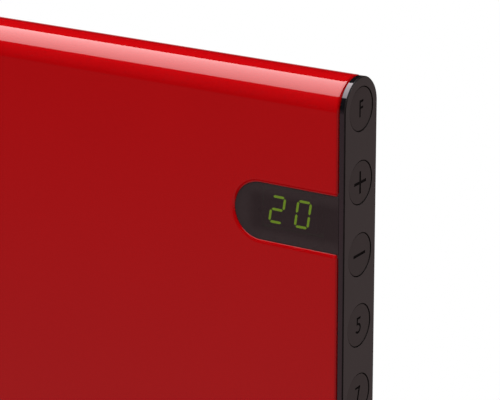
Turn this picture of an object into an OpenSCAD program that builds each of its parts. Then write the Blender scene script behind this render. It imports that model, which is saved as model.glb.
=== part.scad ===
// Wall-hung electric panel heater: painted steel casing, moulded end caps with a column of
// round keys in the right one, a display tab in the front, and a hook-on wall bracket.
// The wall is the plane Y = 0, the front faces -Y, and the origin is the middle of the
// bracket's four wall screws.

/* [Body] */
// Width over both end caps
body_w = 600; // [560:10:900]
// Height of the casing
body_h = 370; // [350:5:420]
// Depth of the casing, front face to back
body_d = 45; // [44:1:54]
// Thickness of the steel sheet
sheet_t = 1; // [0.8:0.1:1.2]
// Radius of the lower edges
bottom_r = 8; // [6:1:10]
// How far the casing comes down the back below its round top
rear_lip = 16; // [12:1:20]
// How far the casing returns under the bottom
bottom_lip = 12; // [11:1:14]
// Clearance between lapped sheets
lap_gap = 0.1; // [0.05:0.05:0.2]

/* [Air slots] */
// Length of a slot
slot_len = 30; // [20:1:40]
// Width of a slot
slot_w = 4; // [3:0.5:5]
// Distance from slot to slot along the width
slot_pitch = 36; // [34:1:60]
// Distance from row to row
slot_row = 8; // [6:1:9]
// Rows of outlet slots in the back
outlet_rows = 3; // [1:1:4]
// Rows of inlet slots in the bottom
inlet_rows = 3; // [1:1:3]

/* [End caps] */
// Width of the end beyond the casing, cap wall and fascia together
cap_reveal = 4.2; // [3.6:0.1:5]
// Size of the bevel round the cap's outer edge
cap_bevel = 0.5; // [0.3:0.1:0.8]
// How far the fascia stands out of the cap's rim
fascia_step = 0.5; // [0.3:0.1:0.8]
// Flat land between the bevel and the fascia's groove
rim_land = 0.2; // [0.2:0.1:1]
// Groove between rim and fascia
fascia_gap = 0.15; // [0.1:0.05:0.5]
// Thickness of the fascia plate
fascia_t = 2; // [1.5:0.1:2.2]
// How far the cap's skirt plugs into the casing
skirt_len = 14; // [12:1:18]
// Wall of the skirt
skirt_t = 1.8; // [1.5:0.1:2.2]
// Clearance between skirt and back panel
skirt_gap = 0.2; // [0.1:0.05:0.4]

/* [Keys] */
// Distance from key to key
key_pitch = 54; // [50:1:58]
// Diameter of a key
key_d = 32; // [26:1:34]
// Gap round a key
key_gap = 0.35; // [0.2:0.05:0.5]
// How far a key's face lies below the fascia
key_sink = 0.4; // [0:0.1:0.5]
// How far a key travels
key_travel = 1; // [0.5:0.1:1]
// Top of the casing to the first key's centre
first_key_drop = 23.5; // [23:0.5:30]
// Width of the lip that keeps a key in
key_lip = 1.2; // [0.8:0.1:1.4]
// Thickness of that lip
key_lip_t = 1.2; // [1:0.1:1.4]
// Diameter of a key's stem
stem_d = 5; // [4:0.5:8]
// Stroke width of the letters and figures
legend_stroke = 1.7; // [0.8:0.05:1.8]
// Stroke width of the plus and minus signs
sign_stroke = 2.2; // [1:0.05:2.2]
// Length of the plus and minus signs
sign_len = 16.6; // [12:0.2:18]
// Depth of the legends
legend_depth = 0.4; // [0.2:0.1:0.8]

/* [Display] */
// Top of the casing to the middle of the display tab
tab_drop = 104.8; // [95:0.2:110]
// Height of the tab
tab_h = 43; // [40:0.2:48]
// Length of the tab from the casing's end to its round tip
tab_len = 87.2; // [82:0.2:100]
// How far the window lies below the front face
window_sink = 0.5; // [0.3:0.1:0.8]
// Thickness of the window's flange behind the sheet
window_flange_t = 1.9; // [1.5:0.1:2.5]
// Width of that flange
window_flange = 2.5; // [1.5:0.5:3]
// Clearance round the window
window_gap = 0.15; // [0.1:0.05:0.3]
// Gap between the window's square end and the cap
window_end_gap = 0.6; // [0.3:0.1:1]
// Height of a digit
digit_h = 20.9; // [18:0.1:22]
// Width of a digit
digit_w = 12; // [10:0.1:13]
// Distance from digit to digit
digit_pitch = 21.4; // [19:0.1:23]
// Width of a lit segment
segment_w = 1.6; // [1.4:0.1:2.4]
// Lean of the digits, in degrees
digit_lean = 8.5; // [0:0.5:12]
// End of the casing to the middle of the two digits
digits_in = 42.2; // [38:0.2:46]
// Height of the digits over the middle of the tab
digits_up = 2.5; // [0:0.1:4]

/* [Heating element] */
// Room left of the element, for its far lead
element_left_room = 58.6; // [56:0.2:80]
// Room right of the element, for the display and the wiring
element_right_room = 82.6; // [82:0.2:110]
// Reach of the fins from the middle
fin_reach = 15.5; // [13:0.5:17]
// Thickness of a fin
fin_t = 1.2; // [1:0.1:1.6]
// Outer diameter of the heating rod
rod_d = 8; // [6:0.5:9]
// Height of the element's middle above the bottom
element_rise = 73; // [65:1:80]

/* [Wall bracket] */
// Gap between the casing and the wall
wall_gap = 33; // [30:1:40]
// Middle of the body to a bracket upright
hook_x = 150; // [130:5:160]
// Height of an upright
upright_h = 220; // [210:5:240]
// Thickness of the bracket's steel
bracket_t = 1.5; // [1.2:0.1:2]
// Wall flange, measured along the width
wall_flange = 36; // [34:1:44]
// Middle of the bracket to the middle of a hook's arm
hook_z = 75; // [70:1:85]
// Height of a hook's arm
hook_arm = 6; // [5:0.5:8]
// Height of a hook's tongue above its arm
hook_tongue = 10; // [8:0.5:11]
// Clearance of a hook in its slot
hook_gap = 0.1; // [0.05:0.05:0.3]
// How far the heater lifts to come off
lift = 12; // [11.5:0.5:14]
// Distance between wall screws along the width
screw_span_x = 256; // [240:2:256]
// Distance between wall screws along the height
screw_span_z = 180; // [160:5:180]
// Diameter of a wall screw hole
wall_hole_d = 6; // [5:0.5:7]

/* [Fasteners] */
// Diameter of a casing screw
screw_d = 3; // [2.5:0.1:3.5]
// Diameter of a casing screw's head
screw_head_d = 6.4; // [5.5:0.1:7]
// Height of that head
screw_head_h = 1.9; // [1.5:0.1:2.2]
// Clearance round a screw's shank
screw_gap = 0.2; // [0.1:0.05:0.4]

/* [Hidden] */
$fn = 64;
eps = 0.01;

// Main planes
x_end = body_w / 2;
x_case = x_end - cap_reveal;
y_rear = -wall_gap;
y_front = y_rear - body_d;
y_mid = (y_front + y_rear) / 2;
z_top = body_h / 2;
z_bot = -body_h / 2;
top_r = body_d / 2;
z_arc = z_top - top_r;
z_lip = z_arc - rear_lip;

// Back panel lapped inside the casing
lap = sheet_t + lap_gap;
panel_out = y_rear - lap;
panel_in = panel_out - sheet_t;
panel_short = 2;
outlet_drop = 10;
panel_top = z_arc - panel_short;
floor_in = z_bot + lap + sheet_t;

// End cap
skirt_inset = lap + sheet_t + skirt_gap;
skirt_in = skirt_inset + skirt_t;
pocket_inset = cap_bevel + rim_land;
fascia_inset = pocket_inset + fascia_gap;
x_rim = x_end - fascia_step;
x_pocket = x_end - fascia_t;
x_skirt = x_case - skirt_len;
skirt_root = 0.5;
cap_screw_x = x_case - skirt_len / 2;
cap_screw_drop = 85;
cap_screw_rise = 65;
cap_screw_z = [z_top - cap_screw_drop, z_bot + cap_screw_rise];
casing_screw_in = 99;
casing_screw_x = [-x_case + casing_screw_in, 0, x_case - casing_screw_in];
casing_screw_z = (z_lip + z_arc) / 2;
casing_screw_len = 6;
cap_screw_len = 10;
tap_gap = 0.05;
cap_boss_r = 4;
cap_boss_len = 9;

// Keys, from the top down
key_count = 5;
key_r = key_d / 2;
x_key = x_end - key_sink;
key_z = [for (i = [0 : key_count - 1]) z_top - first_key_drop - i * key_pitch];
key_rest_gap = 0.1;
key_lip_gap = 0.6;
key_lip_top = x_pocket - key_rest_gap;
key_lip_bot = key_lip_top - key_lip_t;
web_hole_r = key_r + key_lip + key_lip_gap;

// Control board behind the keys
board_t = 1.6;
board_half = 15;
board_in = 12.6;
board_drop = 15;
board_tail = 30;
x_board = x_case - board_in;
board_hi = z_top - board_drop;
board_lo = key_z[key_count - 1] - board_tail;
board_back = x_board - board_t;
switch_side = 6;
switch_h = 3.5;
plunger_r = 1.7;
plunger_len = 2.8;
plunger_proud = 1.5;
plunger_gap = 0.05;
x_plunger = x_board + switch_h + plunger_proud;
board_boss_r = 3.5;
board_screw_r = 1.2;
board_screw_len = 8.6;
board_boss_rise = 5;
board_boss_z = [key_z[0] - key_pitch / 2, key_z[2] - key_pitch / 2, board_lo + board_boss_rise];

// Display
tab_z = z_top - tab_drop;
tab_tip = x_case - tab_len;
window_face = y_front + window_sink;
window_step = y_front + lap;
window_back = window_step + window_flange_t;
module_gap = 0.2;
module_front = window_back + module_gap;
module_d = 8;
module_w = digit_pitch + digit_w + 11;
module_h = digit_h + 4;
digits_x = x_case - digits_in;
digits_z = tab_z + digits_up;
segment_t = 0.15;
display_board_y = module_front + module_d;
post_in = 3;
display_board_x0 = digits_x - module_w / 2 - 2 * post_in;
display_board_x1 = board_back - 1;
display_board_lo = tab_z - module_h / 2 - 3;
display_board_hi = tab_z + tab_h / 2 - 1;
post_r = 1.6;
post_gap = 0.15;
posts = [[digits_x - module_w / 2 - post_in, tab_z],
         [digits_x + module_w / 2 - post_in, display_board_hi - post_in]];
header_w = 8;
header_d = 7;
header_h = 20;

// Heating element and its supports
element_y = y_mid - 1.5;
element_z = z_bot + element_rise;
element_x0 = -x_case + element_left_room;
element_x1 = x_case - element_right_room;
core_r = rod_d / 2 + 2.5;
rod_gap = 0.05;
rod_over = 14;
bush_r = rod_d / 2 + 2;
bush_len = 12;
collar_r = rod_d / 2 + 4;
collar_len = 3.8;
pin_r = 2;
pin_len = 10;
support_t = 1.2;
support_half = 23;
support_flange = 14;
support_front = y_front + 6;
shield_t = 0.8;
shield_stand = 5.9;
shield_below = 38;
shield_above = 56;
shield_y = panel_in - shield_stand;
shield_lo = element_z - shield_below;
shield_hi = element_z + shield_above;
shield_in = 2;
baffle_t = 0.8;
baffle_above = 152;
baffle_hi = element_z + baffle_above;
bush_gap = 0.2;
bush_seat = element_x1 + bush_gap;
support_x = bush_seat + collar_len;
support_screw_in = 8;
support_screw_len = 5;

// Thermal cut-out on the shield
cutout_in = 64;
cutout_above = 40;
cutout_x = element_x1 - cutout_in;
cutout_z = element_z + cutout_above;
cutout_y = shield_y - shield_t;
cutout_r = 8;
cutout_h = 9;
cutout_flange_t = 1;
cutout_screw_x = 13;
cutout_screw_len = 3.4;
tab_x = 6;
tab_half = 3.2;
tab_reach = 8;
tab_t = 0.8;
tab_y0 = cutout_y - cutout_flange_t - cutout_h - tab_reach;

// Bracket
bracket_play = 0.5;
bracket_front = y_rear + bracket_play;
front_flange = 20;
hook_play = 0.3;
hook_side_gap = 0.6;
hook_d = 3;
hook_in = panel_in - hook_play;
hook_reach = hook_in - hook_d;
hook_levels = [hook_z - hook_arm / 2, -hook_z - hook_arm / 2];
rail_half_h = 14;
rail_lip = 6;
rivet_r = 2;
rivet_x = hook_x - wall_flange / 2;
rivet_z = 8;
rivet_head_r = 3.5;
rivet_head_h = 1.4;
rivet_gap = 0.05;

// Gland, earth screw and room sensor
gland_in = 34;
gland_rise = 33;
gland_x = x_case - gland_in;
gland_z = z_bot + gland_rise;
gland_r = 8;
gland_bore_r = 4;
gland_flange_r = 11;
gland_flange_t = 3;
gland_thread = 8;
nut_h = 5;
earth_in = 68;
earth_rise = 45;
earth_x = x_case - earth_in;
earth_z = z_bot + earth_rise;
lug_t = 1;
lug_r = 5;
lug_end = earth_x + 13;
sensor_in = 7.6;
sensor_x = x_case - sensor_in;
sensor_r = 2.5;
sensor_gap = 0.1;
sensor_view = 0.7;
sensor_head_r = 4;
sensor_head_h = 6.5;
sensor_sink = 0.4;
lead_r = 1.3;
sensor_lead_r = 0.8;

// Parts on the control board
block_w = 23;
block_rise = 11;
block_h = 24;
block_d = 14;
block_lo = board_lo + block_rise;
block_hi = block_lo + block_h;
block_x0 = board_back - block_d;
block_x = board_back - 7.4;
relay_d = 16;
relay_h = 20;
relay_w = 19;
transformer_d = 22;
transformer_h = 30;
transformer_w = 27;
capacitor_d = 16;
capacitor_r = 5;
wire_y = [y_mid - 6.5, y_mid, y_mid + 6.5];
wire_hole_r = 1.8;
wire_hole_len = 8;
wire_top = block_lo + 5;

red = "#b00f14";
black = "#33302f";
zinc = "#b4b8ba";

// Section of the body in Y and Z: round top, straight sides, small lower radii
module profile(inset) {
  translate([y_mid, z_arc]) circle(top_r - inset);
  translate([y_front + inset, z_bot + bottom_r]) square([body_d - 2 * inset, z_arc - z_bot - bottom_r]);
  for (y = [y_front + bottom_r, y_rear - bottom_r]) translate([y, z_bot + bottom_r]) circle(bottom_r - inset);
  translate([y_front + bottom_r, z_bot + inset]) square([body_d - 2 * bottom_r, bottom_r]);
}

// The body's section run along the width from x0 to x1
module bar(x0, x1, inset) {
  translate([x0, 0, 0]) rotate([90, 0, 90]) linear_extrude(x1 - x0) profile(inset);
}

// A wall of thickness t between the section at one inset and the section further in
module wall(x0, x1, inset, t) {
  difference() {
    bar(x0, x1, inset);
    bar(x0 - 1, x1 + 1, inset + t);
  }
}

// Box between two corners
module box(lo, hi) {
  translate(lo) cube(hi - lo);
}

// Round bars along each axis, from the first coordinate to the second
module rod_x(x0, x1, y, z, r) {
  translate([x0, y, z]) rotate([0, 90, 0]) cylinder(h = x1 - x0, r = r);
}
module rod_y(y0, y1, x, z, r) {
  translate([x, y1, z]) rotate([90, 0, 0]) cylinder(h = y1 - y0, r = r);
}
module rod_z(z0, z1, x, y, r) {
  translate([x, y, z0]) cylinder(h = z1 - z0, r = r);
}

// A flat drawing in X and Z, given thickness from y0 back to y1
module plate_y(y0, y1) {
  translate([0, y1, 0]) rotate([90, 0, 0]) linear_extrude(y1 - y0) children();
}

// A flat drawing in Y and Z, given thickness from x0 to x1
module plate_x(x0, x1) {
  translate([x0, 0, 0]) rotate([90, 0, 90]) linear_extrude(x1 - x0) children();
}

// Screw along Y with its head on the outside at y_head and its shank going in towards -Y
module screw_in(x, y_head, z, len) {
  rod_y(y_head, y_head + screw_head_h, x, z, screw_head_d / 2);
  rod_y(y_head - len, y_head, x, z, screw_d / 2);
}

// Tube swept along points, closed at both ends
function unit(v) = v / norm(v);
function heading(p, i) = unit(p[min(i + 1, len(p) - 1)] - p[max(i - 1, 0)]);
function ring(p, i, r, n) =
  let (t = heading(p, i), a = unit(cross(t, [0.31, 0.52, 0.8])), b = cross(t, a))
  [for (k = [0 : n - 1]) p[i] + r * (a * cos(360 * k / n) + b * sin(360 * k / n))];
module tube(p, r, n = 8) {
  last = len(p) - 1;
  points = [for (i = [0 : last]) each ring(p, i, r, n)];
  sides = [for (i = [0 : last - 1], k = [0 : n - 1])
    let (a = i * n + k, b = i * n + (k + 1) % n) each [[a, a + n, b], [b, a + n, b + n]]];
  ends = [[for (k = [0 : n - 1]) k], [for (k = [n - 1 : -1 : 0]) last * n + k]];
  polyhedron(points, concat(sides, ends), convexity = 4);
}

// Smooth run of points through a hand-chosen route, five steps to a stretch
function spline_at(a, b, c, d, t) =
  0.5 * (2 * b + (c - a) * t + (2 * a - 5 * b + 4 * c - d) * t * t + (3 * b - a - 3 * c + d) * t * t * t);
function route(p, steps = 5) =
  let (last = len(p) - 1)
  concat([for (i = [0 : last - 1], s = [0 : steps - 1])
    spline_at(p[max(i - 1, 0)], p[i], p[i + 1], p[min(i + 2, last)], s / steps)], [p[last]]);

// Outline of the display tab in X and Z, grown all round, with its square end at the casing's end
module tab_outline(grow, right) {
  r = tab_h / 2 + grow;
  tip = tab_tip + tab_h / 2;
  translate([tip, tab_z]) circle(r);
  translate([tip, tab_z - r]) square([right - tip, 2 * r]);
}

// Positions of a row of slots, centred on the body
function slot_row_x(half) =
  let (n = floor((2 * half - slot_len) / slot_pitch))
  [for (i = [0 : n]) (i - n / 2) * slot_pitch];

// Casing and back

module front_casing() {
  color(red) difference() {
    wall(-x_case, x_case, 0, sheet_t);
    box([-x_end, y_front + bottom_lip, z_bot - 1], [x_end, y_rear + 1, z_lip]);
    plate_y(y_front - 1, y_front + bottom_r / 2) tab_outline(0, x_case + 1);
    for (x = casing_screw_x)
      rod_y(y_rear - 2 * sheet_t, y_rear + 1, x, casing_screw_z, screw_d / 2 + screw_gap);
  }
}

module rear_panel() {
  inner_half = x_case - skirt_len - 8;
  color(zinc) difference() {
    intersection() {
      wall(-x_case + 0.2, x_case - 0.2, lap, sheet_t);
      box([-x_end, y_front + bottom_r + 1, z_bot], [x_end, y_rear, panel_top]);
    }
    for (x = slot_row_x(inner_half), i = [0 : outlet_rows - 1])
      translate([x - slot_len / 2, panel_in - 1, z_lip - outlet_drop - i * slot_row])
        cube([slot_len, sheet_t + 2, slot_w]);
    for (x = slot_row_x(inner_half), i = [0 : inlet_rows - 1])
      translate([x - slot_len / 2, y_mid - slot_w / 2 + (i - (inlet_rows - 1) / 2) * slot_row, z_bot])
        cube([slot_len, slot_w, 2 * lap]);
    for (side = [-1, 1], z = hook_levels)
      box([side * hook_x - bracket_t / 2 - hook_side_gap, panel_in - 1, z - lift - hook_side_gap],
          [side * hook_x + bracket_t / 2 + hook_side_gap, panel_out + 1, z + hook_arm + hook_gap]);
    for (x = casing_screw_x) rod_y(panel_in - 1, y_rear, x, casing_screw_z, screw_d / 2 + screw_gap);
    for (side = [-1, 1], z = cap_screw_z)
      rod_y(panel_in - 1, y_rear, side * cap_screw_x, z, screw_d / 2 + screw_gap);
    for (s = support_screw_at) rod_y(panel_in - 1, y_rear, s[0], s[1], screw_d / 2 + screw_gap);
    rod_y(panel_in - 1, y_rear, gland_x, gland_z, gland_r + screw_gap);
    rod_y(panel_in - 1, y_rear, earth_x, earth_z, screw_d / 2 + screw_gap);
    rod_z(z_bot, floor_in + 1, sensor_x, y_mid, sensor_r + sensor_view);
  }
}

module casing_screws() {
  color("silver") for (x = casing_screw_x) screw_in(x, y_rear, casing_screw_z, casing_screw_len);
}

// End caps

// Plate with the body's outline and a small bevel round its outer edge
module edged_plate() {
  x_edge = x_rim - cap_bevel;
  inner = [[x_edge, y_front], [x_edge, y_rear], [x_rim, y_rear - cap_bevel], [x_rim, y_front + cap_bevel]];
  lower = [[x_edge, z_bot], [x_rim, z_bot + cap_bevel], [x_rim, z_bot + bottom_r], [x_edge, z_bot + bottom_r]];
  bar(x_case, x_edge, 0);
  translate([x_edge, y_mid, z_arc]) rotate([0, 90, 0]) cylinder(h = cap_bevel, r1 = top_r, r2 = top_r - cap_bevel);
  translate([0, 0, z_bot + bottom_r]) linear_extrude(z_arc - z_bot - bottom_r) polygon(inner);
  for (y = [y_front + bottom_r, y_rear - bottom_r]) translate([x_edge, y, z_bot + bottom_r]) rotate([0, 90, 0])
    cylinder(h = cap_bevel, r1 = bottom_r, r2 = bottom_r - cap_bevel);
  plate_y(y_front + bottom_r, y_rear - bottom_r) polygon(lower);
}

// Skirt, rim and the bosses for the back screws, as on the right-hand side
module cap_shell() {
  difference() {
    union() {
      difference() {
        edged_plate();
        bar(x_pocket, x_end + 1, pocket_inset);
      }
      wall(x_skirt, x_case + skirt_root, skirt_inset, skirt_t);
      for (z = cap_screw_z)
        rod_y(y_rear - skirt_in - cap_boss_len, y_rear - skirt_in + skirt_root, cap_screw_x, z, cap_boss_r);
    }
    for (z = cap_screw_z)
      rod_y(y_rear - skirt_in - cap_boss_len + 1, y_rear, cap_screw_x, z, screw_d / 2 + tap_gap);
  }
}

module left_end_cap() {
  color(black) mirror([1, 0, 0]) cap_shell();
}

module right_end_cap() {
  color(black) difference() {
    union() {
      cap_shell();
      for (z = board_boss_z) rod_x(x_board, x_case + skirt_root, y_mid, z, board_boss_r);
    }
    for (z = key_z) rod_x(x_case - 1, x_pocket + 1, y_mid, z, web_hole_r);
    for (z = board_boss_z) rod_x(x_board - 1, x_board + board_screw_len, y_mid, z, board_screw_r + tap_gap);
    box([x_skirt - 1, y_front, tab_z - tab_h / 2 - window_flange - 1],
        [x_case, y_front + skirt_in + 1, tab_z + tab_h / 2 + window_flange + 1]);
    rod_z(z_bot, z_bot + skirt_in + 1, sensor_x, y_mid, sensor_r + sensor_gap);
  }
}

module left_fascia() {
  color(black) mirror([1, 0, 0]) bar(x_pocket, x_end, fascia_inset);
}

module control_fascia() {
  color(black) difference() {
    bar(x_pocket, x_end, fascia_inset);
    for (z = key_z) rod_x(x_pocket - 1, x_end + 1, y_mid, z, key_r + key_gap);
  }
}

module end_cap_screws() {
  color("silver") for (side = [-1, 1], z = cap_screw_z)
    screw_in(side * cap_screw_x, panel_out, z, cap_screw_len);
}

// Keys with their sunk legends, and the switch plungers they press

module key(i) {
  color("#3b3635") difference() {
    union() {
      rod_x(key_lip_top, x_key, y_mid, key_z[i], key_r);
      rod_x(key_lip_bot, key_lip_top, y_mid, key_z[i], key_r + key_lip);
      rod_x(x_plunger, key_lip_bot, y_mid, key_z[i], stem_d / 2);
    }
    translate([0, y_mid, key_z[i]]) plate_x(x_key - legend_depth, x_end) children();
  }
}

module plunger(i) {
  color("ivory") rod_x(x_plunger - plunger_len, x_plunger, y_mid, key_z[i], plunger_r);
}

// Centred bar of a sign or a letter
module stroke(x0, y0, x1, y1) {
  translate([x0, y0]) square([x1 - x0, y1 - y0]);
}

module legend_function() {
  s = legend_stroke;
  stroke(-2.2, -5.9, -2.2 + s, 6.4);
  stroke(-2.2, 6.4 - s, 3.2, 6.4);
  stroke(-2.2, 0.1, 2.9, 0.1 + s);
}

module legend_minus() {
  stroke(-sign_len / 2, -sign_stroke / 2, sign_len / 2, sign_stroke / 2);
}

module legend_plus() {
  legend_minus();
  stroke(-sign_stroke / 2, -sign_len / 2, sign_stroke / 2, sign_len / 2);
}

module legend_five() {
  s = legend_stroke;
  bowl = 4;
  stroke(-2.6, 6.3 - s, 2.9, 6.3);
  stroke(-2.6, 0.4, -2.6 + s, 6.3);
  translate([-0.7, -2.1]) difference() {
    circle(bowl);
    circle(bowl - s);
    translate([-bowl, -1.6]) square([bowl + s - 1.9, 2 * bowl]);
  }
}

module legend_seven() {
  s = legend_stroke;
  stroke(-3.5, 6.3 - s, 3.5, 6.3);
  polygon([[3.5, 6.3], [3.5 - 1.2 * s, 6.3], [-1.8, -6.2], [-1.8 + 1.2 * s, -6.2]]);
}

// Electronics behind the keys

module control_board() {
  color("darkgreen") difference() {
    box([board_back, y_mid - board_half, board_lo], [x_board, y_mid + board_half, board_hi]);
    for (z = board_boss_z) rod_x(board_back - 1, x_board + 1, y_mid, z, board_screw_r + screw_gap);
  }
}

module key_switches() {
  s = switch_side / 2;
  color("#222222") for (z = key_z) difference() {
    box([x_board, y_mid - s, z - s], [x_board + switch_h, y_mid + s, z + s]);
    rod_x(x_plunger - plunger_len - key_travel - key_rest_gap, x_plunger, y_mid, z, plunger_r + plunger_gap);
  }
}

module board_screws() {
  color("silver") for (z = board_boss_z) {
    rod_x(board_back - 1.8, board_back, y_mid, z, 2 * board_screw_r);
    rod_x(board_back, x_board + board_screw_len - 1, y_mid, z, board_screw_r);
  }
}

module relay() {
  z = board_boss_z[1] + 8;
  color("#1f1f22")
    box([board_back - relay_d, y_mid - relay_w / 2, z], [board_back, y_mid + relay_w / 2, z + relay_h]);
}

module transformer() {
  z = board_boss_z[1] - 25;
  color("#c9a227") difference() {
    box([board_back - transformer_d, y_mid - transformer_w / 2, z - transformer_h],
        [board_back, y_mid + transformer_w / 2, z]);
    for (s = [-1, 1]) translate([0, y_mid + s * transformer_w / 6, z])
      box([board_back - transformer_d - 1, -2, 6 - transformer_h], [board_back - 3, 2, -6]);
  }
}

module capacitor() {
  z = block_hi + 1.5 * capacitor_r;
  color("#20304a") rod_x(board_back - capacitor_d, board_back, wire_y[2], z, capacitor_r);
}

module terminal_block() {
  color("#e8e4da") difference() {
    box([block_x0, y_mid - block_w / 2, block_lo], [board_back, y_mid + block_w / 2, block_hi]);
    for (y = wire_y) {
      rod_z(block_lo - 1, block_lo + wire_hole_len, block_x, y, wire_hole_r);
      rod_x(block_x0 - 1, block_x0 + 3, y, block_lo + 13, wire_hole_r);
    }
  }
}

// Display behind its tab in the front

module display_window() {
  color("#2c2a2b") {
    plate_y(window_face, window_step) tab_outline(-window_gap, x_case - window_end_gap);
    plate_y(window_step, window_back) tab_outline(window_flange, x_case - window_end_gap);
    for (p = posts) rod_y(window_back, display_board_y + board_t + 1, p[0], p[1], post_r);
  }
}

module display_module() {
  color("#151515") box([digits_x - module_w / 2, module_front, digits_z - module_h / 2],
                       [digits_x + module_w / 2, display_board_y, digits_z + module_h / 2]);
}

// One bar of a digit, pointed at both ends, lying along X or standing along Z
module segment(len) {
  h = segment_w / 2;
  e = len / 2;
  polygon([[-e, 0], [-e + h, h], [e - h, h], [e, 0], [e - h, -h], [-e + h, -h]]);
}

// The bars of one digit: top, two upper sides, middle, two lower sides, bottom
module digit(lit) {
  gap = 0.5;
  across = digit_w - segment_w;
  up = (digit_h - segment_w) / 2;
  places = [[0, up, 0], [across / 2, up / 2, 90], [-across / 2, up / 2, 90], [0, 0, 0],
            [across / 2, -up / 2, 90], [-across / 2, -up / 2, 90], [0, -up, 0]];
  for (k = lit) {
    p = places[k];
    lean = p[1] * tan(digit_lean);
    translate([p[0] + lean, p[1]]) rotate(p[2] == 0 ? 0 : 90 - digit_lean)
      segment((p[2] == 0 ? across : up) - gap);
  }
}

module display_segments() {
  two = [0, 1, 3, 5, 6];
  zero = [0, 1, 2, 4, 5, 6];
  color("#7fd321") plate_y(module_front - segment_t, module_front) translate([digits_x, digits_z]) {
    translate([-digit_pitch / 2, 0]) digit(two);
    translate([digit_pitch / 2, 0]) digit(zero);
  }
}

module display_board() {
  color("darkgreen") difference() {
    box([display_board_x0, display_board_y, display_board_lo],
        [display_board_x1, display_board_y + board_t, display_board_hi]);
    for (p = posts) rod_y(display_board_y - 1, display_board_y + board_t + 1, p[0], p[1], post_r + post_gap);
  }
}

module display_header() {
  y = display_board_y + board_t;
  color("#202020")
    box([board_back - header_w, y, tab_z - header_h / 2], [board_back, y + header_d, tab_z + header_h / 2]);
}

// Heating element

module finned_element() {
  fins = [for (a = [32 : 29 : 148]) each [a, -a]];
  color("gainsboro") plate_x(element_x0, element_x1) translate([element_y, element_z]) difference() {
    union() {
      circle(core_r);
      for (a = fins) rotate(a) translate([0, -fin_t / 2]) square([fin_reach, fin_t]);
    }
    circle(rod_d / 2 + rod_gap);
  }
}

module heating_rod() {
  color("dimgray") rod_x(element_x0 - rod_over, element_x1 + rod_over, element_y, element_z, rod_d / 2);
}

// One ceramic bush beyond the element's right end, its collar against the support
module ceramic_bush() {
  difference() {
    union() {
      rod_x(bush_seat, bush_seat + bush_len, element_y, element_z, bush_r);
      rod_x(bush_seat, support_x, element_y, element_z, collar_r);
    }
    rod_x(bush_seat - 1, bush_seat + bush_len + 1, element_y, element_z, rod_d / 2 + rod_gap);
  }
}

// What stands at the element's right end, turned round for its left end
module both_ends() {
  children();
  translate([element_x0 + element_x1, 0, 0]) mirror([1, 0, 0]) children();
}

module ceramic_bushes() {
  color("linen") both_ends() ceramic_bush();
}

module element_terminals() {
  color("goldenrod") both_ends()
    rod_x(element_x1 + rod_over, element_x1 + rod_over + pin_len, element_y, element_z, pin_r);
}

// Bent steel plate that holds the right end of the element, with feet to the back and the front baffle
module element_support() {
  x = support_x;
  lo = element_z - support_half;
  hi = element_z + support_half;
  difference() {
    union() {
      box([x, support_front, lo], [x + support_t, panel_in, hi]);
      box([x - support_flange, panel_in - support_t, lo], [x + eps, panel_in, hi]);
      box([x - support_flange, support_front, lo], [x + eps, support_front + support_t, hi]);
    }
    rod_x(x - 1, x + support_t + 1, element_y, element_z, bush_r + 0.1);
    for (z = support_screw_z)
      rod_y(panel_in - support_t - 1, panel_in + 1, x - support_flange / 2, z, screw_d / 2 + screw_gap);
  }
}

support_screw_z = [element_z - support_half + support_screw_in, element_z + support_half - support_screw_in];
support_screw_x = [element_x0 + element_x1 - support_x + support_flange / 2, support_x - support_flange / 2];
support_screw_at = [for (x = support_screw_x, z = support_screw_z) [x, z]];

module element_support_left() {
  color(zinc) translate([element_x0 + element_x1, 0, 0]) mirror([1, 0, 0]) element_support();
}

module element_support_right() {
  color(zinc) element_support();
}

module support_screws() {
  color("silver") for (s = support_screw_at)
    screw_in(s[0], panel_out, s[1], support_screw_len);
}

module heat_shield() {
  x0 = element_x0 + shield_in;
  x1 = element_x1 - shield_in;
  color("whitesmoke") difference() {
    union() {
      box([x0, shield_y - shield_t, shield_lo], [x1, shield_y, shield_hi]);
      for (z = [shield_lo, shield_hi - shield_t]) box([x0, shield_y - eps, z], [x1, panel_in, z + shield_t]);
    }
    for (s = [-1, 1])
      rod_y(shield_y - 2, shield_y + 1, cutout_x + s * cutout_screw_x, cutout_z, screw_d / 2 + screw_gap);
  }
}

module front_baffle() {
  x0 = element_x0 + element_x1 - support_x;
  color(zinc) box([x0, support_front - baffle_t, shield_lo], [support_x, support_front, baffle_hi]);
}

module thermal_cutout() {
  flange_half = cutout_screw_x + 4;
  color("saddlebrown") {
    difference() {
      box([cutout_x - flange_half, cutout_y - cutout_flange_t, cutout_z - 6],
          [cutout_x + flange_half, cutout_y, cutout_z + 6]);
      for (s = [-1, 1])
        rod_y(cutout_y - 2, cutout_y + 1, cutout_x + s * cutout_screw_x, cutout_z, screw_d / 2 + screw_gap);
    }
    rod_y(cutout_y - cutout_flange_t - cutout_h, cutout_y - cutout_flange_t, cutout_x, cutout_z, cutout_r);
    for (s = [-1, 1])
      box([cutout_x + s * tab_x - tab_t / 2, tab_y0, cutout_z - tab_half],
          [cutout_x + s * tab_x + tab_t / 2, cutout_y - cutout_flange_t - cutout_h, cutout_z + tab_half]);
  }
}

module cutout_screws() {
  y = cutout_y - cutout_flange_t;
  color("silver") for (s = [-1, 1]) {
    rod_y(y - screw_head_h, y, cutout_x + s * cutout_screw_x, cutout_z, screw_head_d / 2);
    rod_y(y, y + cutout_screw_len, cutout_x + s * cutout_screw_x, cutout_z, screw_d / 2);
  }
}

// Room sensor in the bottom of the right cap, and the leads

module room_sensor() {
  seat = z_bot + skirt_in;
  color("white") {
    rod_z(z_bot + lap + sensor_sink, seat, sensor_x, y_mid, sensor_r);
    rod_z(seat, seat + sensor_head_h, sensor_x, y_mid, sensor_head_r);
  }
}

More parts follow.
